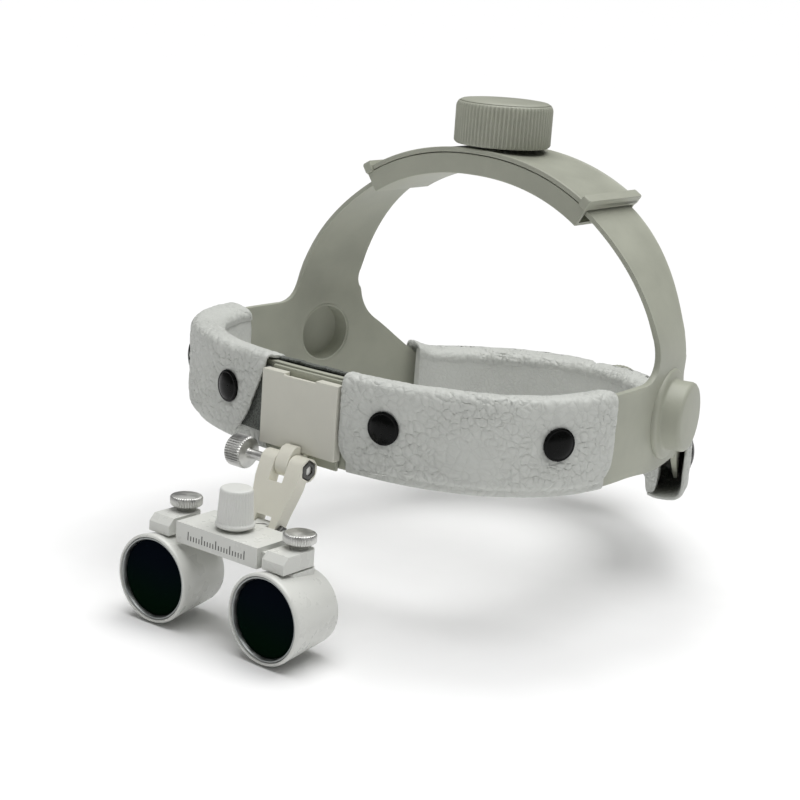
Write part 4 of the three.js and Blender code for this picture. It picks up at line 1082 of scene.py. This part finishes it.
def build_rear_pad():
    """The nape pad: a foam core, and a sleeve of leather round the end of each rear arm."""
    begins = {side: station_at_y(y) for side, y in REAR_ENDS.items()}
    stations = np.linspace(begins["left"] + 0.4, 2 * HALF_PLAN - begins["right"] - 0.4, 231)
    pad_top, pad_bottom = rear_pad_edges(plan_at(stations)[1])
    middle, half = (pad_top + pad_bottom) / 2, (pad_top - pad_bottom) / 2
    core = padded_core("rear_pad_core", stations, -10.9, -5.5, middle, half - 0.3, 6, 0.35)
    dress(core, "pad_leather", "rear_housing", ["rear_cushion"], LINING)
    path = [(-10.2, 12.6), (-9.9, 15.2), (-8.2, 16.7), (-4.5, 17.1), (-0.5, 17.0), (2.4, 16.4), (4.0, 14.8),
            (4.3, 11.0), (4.3, 2.0), (4.3, -7.0), (4.2, -14.0), (3.3, -16.4), (1.3, -17.5), (-2.5, -17.8),
            (-6.0, -17.7), (-9.0, -17.0)]

    def lift(s, z):
        high, low = rear_pad_edges(plan_at(s)[1])
        return (high + low) / 2 + z * (high - low) / 35.0

    for side, sign in SIDES:
        def starts(u, z, sign=sign, begin=begins[side]):
            return np.full(u.shape, sign * begin)

        def ends(u, z, sign=sign):
            return sign * mix(HALF_PLAN - 0.15, rear_station(33.2), smooth(-2.5, 1.5, u))

        snaps = [(sign * station_at_y(y), rear_snap_z(y)) for _, y in reversed(REAR_SNAPS)]
        flap = folded_flap(f"rear_flap_{side}", path, starts, ends, lift, snaps, 8 + sign, 0.0, 2.6)
        dress(flap, "pad_leather", "rear_housing")


def rear_snap_z(y):
    return float(arm_middle(y)) - 2


def build_snaps():
    """Black domed press-stud caps with a rolled rim."""
    profile = [(0, -0.6), (5.2, -0.6), (5.7, -0.3), (5.9, 0.15), (5.85, 0.6), (5.5, 0.95), (5.15, 1.0),
               (4.95, 0.95), (4.4, 1.25), (3.4, 1.6), (2.2, 1.85), (1.1, 1.97), (0, 2.0)]
    places = []
    for side, sign in SIDES:
        for row, s in zip(("front", "side"), FRONT_SNAPS[side]):
            places.append((f"front_snap_{side}_{row}", sign * s, SNAP_Z, 5.1, "headband"))
        for row, y in REAR_SNAPS:
            place = (sign * station_at_y(y), rear_snap_z(y))
            places.append((f"rear_snap_{side}_{row}", *place, 4.9, "rear_housing"))
    for name, s, z, offset, body in places:
        cap = lathe(f"{name}_cap", profile, 56, plan_matrix(s, z, offset))
        dress(cap, "snap_cap", body, [name])


# ------------------------------------------------------------------ bracket and flip-up arm


def turn_x(matrix_at):
    """A frame at a point whose +Z points along +X."""
    return Matrix.Translation(matrix_at) @ Matrix.Rotation(math.pi / 2, 4, "Y")


def x_rod(name, at, radius, low, high, segments=40):
    return lathe(name, [(0, low), (radius, low), (radius, high), (0, high)], segments, turn_x(at))


def build_bracket():
    """The square cover over the slide, the plate behind it and the two screws that hold them."""
    front, back = -109.2, -105.6
    body = block("bracket_shell", (-17.3, front, -11.1), (17.3, back, 15.9))
    channel = block("tool", (-7.3, front + 1.2, -20), (7.3, back + 5, 20))
    notch = block("tool", (-7.3, front - 3, 15.1), (7.3, back + 5, 20))
    cut(body, channel, notch)
    rounded(body, 0.45, 3)
    dress(body, "bracket_cream", "headband", ["bracket_cover"])
    plate = block("bracket_back_plate", (-15.6, -105.3, -15.4), (15.6, -104.1, 17.0))
    rounded(plate, 0.35, 2)
    dress(plate, "band_plastic", "headband", ["bracket_base"])
    profile = [(0, -3), (1.3, -3), (1.3, -0.5), (2.4, -0.3), (2.35, 0.0), (0.9, 0.05), (0.8, -0.3),
               (0, -0.35)]
    for row, z in (("upper", 9), ("lower", -5)):
        at = Matrix.Translation((0, -105.35, z)) @ Matrix.Rotation(math.pi / 2, 4, "X")
        head = lathe(f"bracket_screw_head_{row}", profile, 32, at)
        dress(head, "satin_steel", "headband", [f"bracket_screw_{row}"])


def build_slide():
    """The plate that slides in the bracket, with the hinge tongue at its foot."""
    plate = block("slide_tongue", (-7, -107.7, -11.3), (7, -105.7, 14.4))
    outline = [(-105.7, -9.3), (-107.7, -9.3), (-107.7, -11.6), (-109.6, -11.6), (-109.6, -8.6),
               (-111.2, -8.3), (-113.2, -8.9), (-115.2, -11.0)]
    outline += [(FLIP.y + 4.2 * math.cos(a), FLIP.z + 4.2 * math.sin(a))
                for a in np.linspace(math.pi - 0.35, 1.5 * math.pi, 9)]
    outline.append((-105.7, FLIP.z - 4.2))
    tongue = prism("tool", outline, -2.85, 2.85, "x")
    join(plate, tongue)
    rounded(plate, 0.3, 2)
    # The slide takes the lighter, painted-light copy of the bracket cream.
    dress(plate, "bracket_cream", "slide", ["slide_plate"], ARM_CREAM_PAINTED_LIGHT)


def arm_outline(head, foot, head_radius, foot_radius):
    """Side outline of the arm: a round head, a plate flush with its front and a round foot."""
    heading = math.atan2(foot.z - head.z, foot.y - head.y)
    first = [(head.y + head_radius * math.cos(t), head.z + head_radius * math.sin(t))
             for t in np.linspace(heading + 0.2, heading + 1.5 * math.pi, 34)]
    last = [(foot.y + foot_radius * math.cos(t), foot.z + foot_radius * math.sin(t))
            for t in np.linspace(heading - math.pi / 2, heading + math.pi / 2, 18)]
    return first + last


def build_flip_arm():
    """The arm from the bracket's hinge to the bridge: wide at its head and narrower at its foot."""
    head_half, foot_half, knuckle_half = 9.5, 6.5, 3.5
    arm = prism("flip_link", arm_outline(FLIP, TILT, 4.2, 2.8), -head_half, head_half, "x")
    tongue_slot = x_rod("tool", FLIP, 8.1, -3.15, 3.15, 48)
    knuckle_slot = x_rod("tool", TILT, 5.0, -knuckle_half, knuckle_half, 48)
    pocket = lathe("tool", [(0, 7.0), (3.9, 7.0), (3.9, 12), (0, 12)], 6, turn_x(FLIP))
    along = (TILT - FLIP).normalized()
    depth = Vector((0, along.z, -along.y)) * 12
    sides = []
    for sign in (1, -1):
        flank = [(head_half + 0.05, 4.0), (head_half - 0.1, 7.0), (head_half - 0.9, 11.0),
                 (foot_half + 0.7, 17.0), (foot_half, 22.0), (foot_half, 30.0), (14, 30.0), (14, 4.0)]
        points = [FLIP + Vector((sign * x, 0, 0)) + along * d + k * depth for k in (-1, 1) for x, d in flank]
        sides.append(from_lists("tool", points, prism_faces(len(flank))))
    cut(arm, tongue_slot, knuckle_slot, pocket, x_rod("tool", FLIP, 1.9, -12, 12, 24), *sides)
    rounded(arm, 0.5, 3)
    # The arm takes the lighter, painted-light copy of the bracket cream.
    dress(arm, "bracket_cream", "flip_link", ["flip_arm"], ARM_CREAM_PAINTED_LIGHT)
    build_arm_fasteners(foot_half + 0.3)


def build_arm_fasteners(seat):
    """The nut in the arm's head, and the screw and nut through its foot. seat is half the foot's width."""
    hexagon = [(1.8, 7.25), (3.1, 7.25), (3.5, 7.55), (3.5, 9.45), (3.1, 9.75), (1.8, 9.75)]
    dress(lathe("flip_hex_nut", hexagon, 6, turn_x(FLIP)), "dark_steel", "flip_link", ["flip_nut"])
    screw = [(0, -seat - 1.2), (1.0, -seat - 1.2), (1.9, -seat - 0.9), (2.3, -seat - 0.3), (2.3, -seat),
             (1.3, -seat), (1.3, seat + 1.8), (1.1, seat + 2), (0, seat + 2)]
    dress(lathe("tilt_pivot_screw", screw, 40, turn_x(TILT)), "satin_steel", "flip_link", ["tilt_screw"])
    foot_nut = [(1.35, seat), (2.5, seat), (2.5, seat + 1.3), (2.2, seat + 1.6), (1.35, seat + 1.6)]
    dress(lathe("tilt_hex_nut", foot_nut, 6, turn_x(TILT)), "dark_steel", "flip_link", ["tilt_nut"])


def knurl(count, depth, radius_from):
    """A warp for lathe: rounded teeth on every part beyond a radius."""
    def warp(radius, height, angle):
        if radius < radius_from:
            return radius
        return radius - depth * (0.5 - 0.5 * math.cos(count * angle)) ** 0.7
    return warp


def build_flip_thumbscrew():
    """The knurled screw that clamps the flip hinge, with its head out on the wearer's right."""
    profile = [(0, -26.0), (4.8, -26.0), (5.3, -25.8), (5.8, -25.3), (5.85, -24.9), (5.85, -19.7),
               (5.8, -19.3), (5.2, -18.75), (4.6, -18.7), (2.3, -18.7), (1.9, -18.4), (1.75, -18.0),
               (1.75, -10.9), (2.8, -10.8), (2.8, -9.9), (1.7, -9.9), (1.7, 9.0), (1.5, 9.2), (0, 9.2)]
    teeth = 38
    screw = lathe("flip_knurled_screw", profile, teeth * 6, turn_x(FLIP), knurl(teeth, 0.42, 5.4))
    dress(screw, "satin_steel", "flip_clamp", ["flip_thumbscrew"])


# ------------------------------------------------------------------ bridge and carriages


def build_bridge():
    """The hollow bar that carries both telescopes, its neck and knuckle, and its floor plate."""
    body = block("bridge_bar", (-18.8, -147.5, -40.4), (18.8, -128.6, -33.1))
    inside = block("tool", (-17.5, -146.2, -45), (17.5, -129.9, -39.4))
    neck = block("tool", (-3.2, -130, -38.2), (3.2, -123, -33.8))
    knuckle = x_rod("tool", TILT, 2.8, -3.2, 3.2)
    join(body, neck, knuckle)
    cut(body, inside)
    rounded(body, 0.5, 3)
    dress(body, "white_lacquer", "bridge", ["bridge_body"])
    floor = block("bridge_floor_plate", (-17.2, -145.9, -40.3), (17.2, -130.2, -39.5))
    rounded(floor, 0.2, 2)
    dress(floor, "white_lacquer", "bridge", ["bridge_floor"])
    build_scale()


def build_scale():
    """A plain graduation along the front of the bridge."""
    pitch, half_line, foot = 1.3, 0.17, -38.6
    ticks = []
    for i in range(-10, 11):
        tall = 3.0 if i % 5 == 0 else 1.7
        x = i * pitch
        ticks.append(((x - half_line, -147.56, foot), (x + half_line, -147.4, foot + tall)))
    points, faces = [], []
    for low, high in ticks:
        start = len(points)
        points += [(x, y, z) for x in (low[0], high[0]) for y in (low[1], high[1]) for z in (low[2], high[2])]
        for face in ([0, 1, 3, 2], [4, 6, 7, 5], [0, 4, 5, 1], [2, 3, 7, 6], [0, 2, 6, 4], [1, 5, 7, 3]):
            faces.append([start + i for i in face])
    scale = from_lists("bridge_scale", points, faces)
    dress(scale, "scale_ink", "bridge")


def build_pd_knob():
    """The tapered ribbed knob that moves the telescopes apart and together."""
    top, rib_count = -18.3, 34
    profile = [(2.0, -32.8), (4.6, -32.8), (4.7, -32.6), (4.7, -31.9), (6.5, -31.8), (6.85, -31.5),
               (6.9, -31.0), (6.75, -30.6), (6.4, -30.4), (6.35, -30.0), (5.75, top - 1.4), (5.7, top - 0.8),
               (5.55, top - 0.35), (5.2, top - 0.08), (4.8, top), (0, top), (0, top - 2.6), (2.0, top - 2.6)]

    def ribs(radius, height, angle):
        if radius < 5.6 or height < -30.2:
            return radius
        fade = 1 - float(smooth(top - 1.4, top - 0.7, height))
        return radius - 0.25 * (0.5 - 0.5 * math.cos(rib_count * angle)) * fade

    at = Matrix.Translation((0, PD_Y, 0))
    knob = lathe("pupil_distance_knob", profile, rib_count * 8, at, ribs)
    knob.data.set_sharp_from_angle(angle=math.radians(50))
    dress(knob, "white_plastic", "pd_drive", ["pd_knob"])


def build_carriage(side, sign):
    """A clamp block on its slide bar, and the thumbscrew through it that holds a telescope."""
    x = sign * SCOPE_X
    half, front, back, top, bottom = 4.8, -148.2, -131.4, -33.4, -39.3
    outline = [(x - half, front), (x + half, front), (x + half, back - 1.5), (x + half - 1.5, back),
               (x - half + 1.5, back), (x - half, back - 1.5)]
    clamp = prism(f"{side}_clamp_block", outline, bottom, top)
    bar_y, bar_half = PD_Y - sign * 5.0, 1.6
    bar_low, bar_high = sorted((sign * 11.2, sign * 23))
    bar = block("tool", (bar_low, bar_y - bar_half, -39.1), (bar_high, bar_y + bar_half, -34.8))
    join(clamp, bar)
    chamfer = 1.7
    wedge = block("tool", (x - 9, -chamfer, -chamfer), (x + 9, chamfer, chamfer))
    wedge.data.transform(Matrix.Rotation(math.pi / 4, 4, "X"))
    wedge.data.transform(Matrix.Translation(Vector((0, front, top)) * MM))
    cut(clamp, wedge)
    rounded(clamp, 0.35, 3)
    dress(clamp, "white_lacquer", f"{side}_carriage", [f"{side}_carriage"])
    head, teeth = -28.2, 40
    profile = [(0, -42.4), (1.8, -42.4), (1.8, top + 0.1), (3.3, top + 0.1), (3.4, top + 0.5),
               (3.7, head - 4.0), (4.5, head - 3.5), (5.3, head - 3.3), (5.75, head - 2.9),
               (5.75, head - 0.6), (5.4, head - 0.15), (4.9, head), (0, head)]
    at = Matrix.Translation((x, PIVOT_Y, 0))
    screw = lathe(f"{side}_clamp_screw", profile, teeth * 6, at, knurl(teeth, 0.38, 5.35))
    dress(screw, "satin_steel", f"{side}_clamp", [f"{side}_thumbscrew"])


# ------------------------------------------------------------------ telescopes


def scope_matrix(sign):
    """A frame with its origin at a telescope's rear and +Z along its axis, forwards."""
    swing = Matrix.Rotation(-sign * TOE_IN, 4, "Z")
    to_pivot = Matrix.Translation((sign * SCOPE_X, PIVOT_Y, 0))
    rear = Matrix.Translation((0, SCOPE_FRONT + SCOPE_LENGTH - PIVOT_Y, SCOPE_Z))
    return to_pivot @ swing @ rear @ Matrix.Rotation(math.pi / 2, 4, "X")


def build_telescope(side, sign):
    """A flared barrel with a lug on top, a lens and ring in front, and an eye lens and ring behind."""
    place = scope_matrix(sign)
    length = SCOPE_LENGTH
    shell = [(10.6, 0.3), (11.0, 0.0), (11.6, 0.0), (12.4, 0.25), (13.0, 0.9), (13.35, 2.0),
             (15.6, length - 3.0), (15.85, length - 1.6), (15.85, length - 0.8), (15.6, length - 0.25),
             (15.2, length), (14.9, length), (14.75, length - 0.3), (14.75, length - 4.6),
             (12.8, length - 4.7), (9.5, 3.2), (9.5, 2.7), (10.6, 2.7)]
    barrel = lathe(f"{side}_scope_shell", shell, 128, place)
    x = sign * SCOPE_X
    outline = [(x - 4.7, PIVOT_Y - 7.4), (x - 3.5, PIVOT_Y - 8.7), (x + 3.5, PIVOT_Y - 8.7),
               (x + 4.7, PIVOT_Y - 7.4), (x + 4.7, PIVOT_Y + 3.0), (x + 3.5, PIVOT_Y + 4.4),
               (x - 3.5, PIVOT_Y + 4.4), (x - 4.7, PIVOT_Y + 3.0)]
    lug = prism(f"{side}_scope_lug", outline, SCOPE_Z + 11.4, -39.9)
    rounded(lug, 0.4, 3)
    body = f"{side}_telescope"
    dress(barrel, "white_lacquer", body, [f"{side}_barrel"])
    dress(lug, "white_lacquer", body)
    ring = [(13.55, length - 4.3), (14.6, length - 4.3), (14.6, length - 0.7), (14.4, length - 0.5),
            (13.95, length - 0.55), (13.55, length - 1.3)]
    dress(lathe(f"{side}_front_ring", ring, 112, place), "lens_ring", body, [f"{side}_objective_ring"])
    lens, seat = 13.4, length - 1.9
    dome = [(0, length - 4.2), (lens - 0.05, length - 4.2), (lens, seat)]
    dome += [(lens * math.cos(t), seat + math.sin(t)) for t in np.linspace(0.15, math.pi / 2, 12)]
    dome[-1] = (0, seat + 1.0)
    dress(lathe(f"{side}_front_lens", dome, 96, place), "lens_glass", body, [f"{side}_objective_lens"])
    eye = [(9.15, 0.35), (9.5, 0.15), (10.1, 0.15), (10.35, 0.4), (10.35, 2.4), (9.15, 2.4)]
    dress(lathe(f"{side}_eye_ring", eye, 96, place), "lens_ring", body, [f"{side}_eyepiece_ring"])
    back = [(0, 0.9), (4.5, 0.8), (8.8, 0.7), (8.9, 1.0), (8.9, 2.2), (0, 2.1)]
    dress(lathe(f"{side}_eye_lens", back, 80, place), "lens_glass", body, [f"{side}_eyepiece_lens"])


# ------------------------------------------------------------------ stage, light and camera


def build_stage():
    """A pale floor that reaches past the horizon, just under the lowest point."""
    floor_z = cad_low[2] - 0.0006
    size = 40.0
    mesh = bpy.data.meshes.new("floor")
    corners = [(-size, -size), (size, -size), (size, size), (-size, size)]
    mesh.from_pydata([(x, y, floor_z) for x, y in corners], [], [(0, 1, 2, 3)])
    floor = new_object("floor", mesh)
    n = Nodes("floor")
    tint = n.colour(n.remap(n.noise(30, 2), 0.3, 0.7), grey(243, 243, 243), grey(245, 245, 245))
    n.set(Base_Color=tint, Roughness=0.95, Normal=n.bump(n.noise(240, 2), 0.0002, 0.03),
          Specular_IOR_Level=0.1)
    floor.data.materials.append(n.material)


def add_light(name, location, target, size, power):
    lamp = bpy.data.lights.new(name, "AREA")
    lamp.shape = "DISK"
    lamp.size = size
    lamp.energy = power
    obj = bpy.data.objects.new(name, lamp)
    obj.location = location
    obj.rotation_mode = "QUATERNION"
    obj.rotation_quaternion = (Vector(target) - Vector(location)).to_track_quat("-Z", "Y")
    bpy.context.scene.collection.objects.link(obj)


def build_light():
    """A wide soft light from above, a pale surround and a faint window in front."""
    world = bpy.data.worlds.new("studio")
    bpy.context.scene.world = world
    world.use_nodes = True
    back = world.node_tree.nodes["Background"]
    back.inputs["Color"].default_value = (1.0, 1.0, 1.0, 1)
    back.inputs["Strength"].default_value = 0.13
    lamp = bpy.data.lights.new("sky", "SUN")
    lamp.energy = 3.2
    lamp.angle = math.radians(60)
    sky = bpy.data.objects.new("sky", lamp)
    sky.rotation_euler = (math.radians(-6), math.radians(5), 0)
    bpy.context.scene.collection.objects.link(sky)
    add_light("window", (0.6, -1.3, 1.1), (0, -0.04, 0), 0.9, 0.9)
    view = bpy.context.scene.view_settings
    view.view_transform = "Standard"
    view.look = "None"


def build_camera():
    """The photograph's view: from the front and the wearer's left, a little above."""
    right = Vector((0.7832, 0.6179, 0.0688))
    up = Vector((-0.2036, 0.1503, 0.9675))
    ahead = Vector((-0.5875, 0.7717, -0.2436))
    camera = bpy.data.objects.new("camera", bpy.data.cameras.new("camera"))
    camera.data.lens = 80.9
    camera.data.sensor_width = 36.0
    camera.data.clip_start, camera.data.clip_end = 0.02, 120.0
    matrix = Matrix((right.normalized(), up.normalized(), -ahead.normalized())).transposed().to_4x4()
    matrix.translation = Vector((0.3943, -0.5690, 0.1621))
    camera.matrix_world = matrix
    bpy.context.scene.collection.objects.link(camera)
    bpy.context.scene.camera = camera


def dress_cad_nodes():
    """Gives each CAD node that is still shown its slot's material."""
    slots = {part["node"]: part["material_slot"] for part in frame["record"]["subparts"]}
    for name, obj in frame["nodes"].items():
        if not obj.hide_render:
            obj.data.materials.clear()
            obj.data.materials.append(LOOKS[slots[name]])


build_camera()
build_stage()
build_light()
build_moulding()
build_bosses()
build_adjusters()
build_front_pad()
build_rear_pad()
build_snaps()
build_bracket()
build_slide()
build_flip_arm()
build_flip_thumbscrew()
build_bridge()
build_pd_knob()
for hand, direction in SIDES:
    build_carriage(hand, direction)
    build_telescope(hand, direction)
dress_cad_nodes()
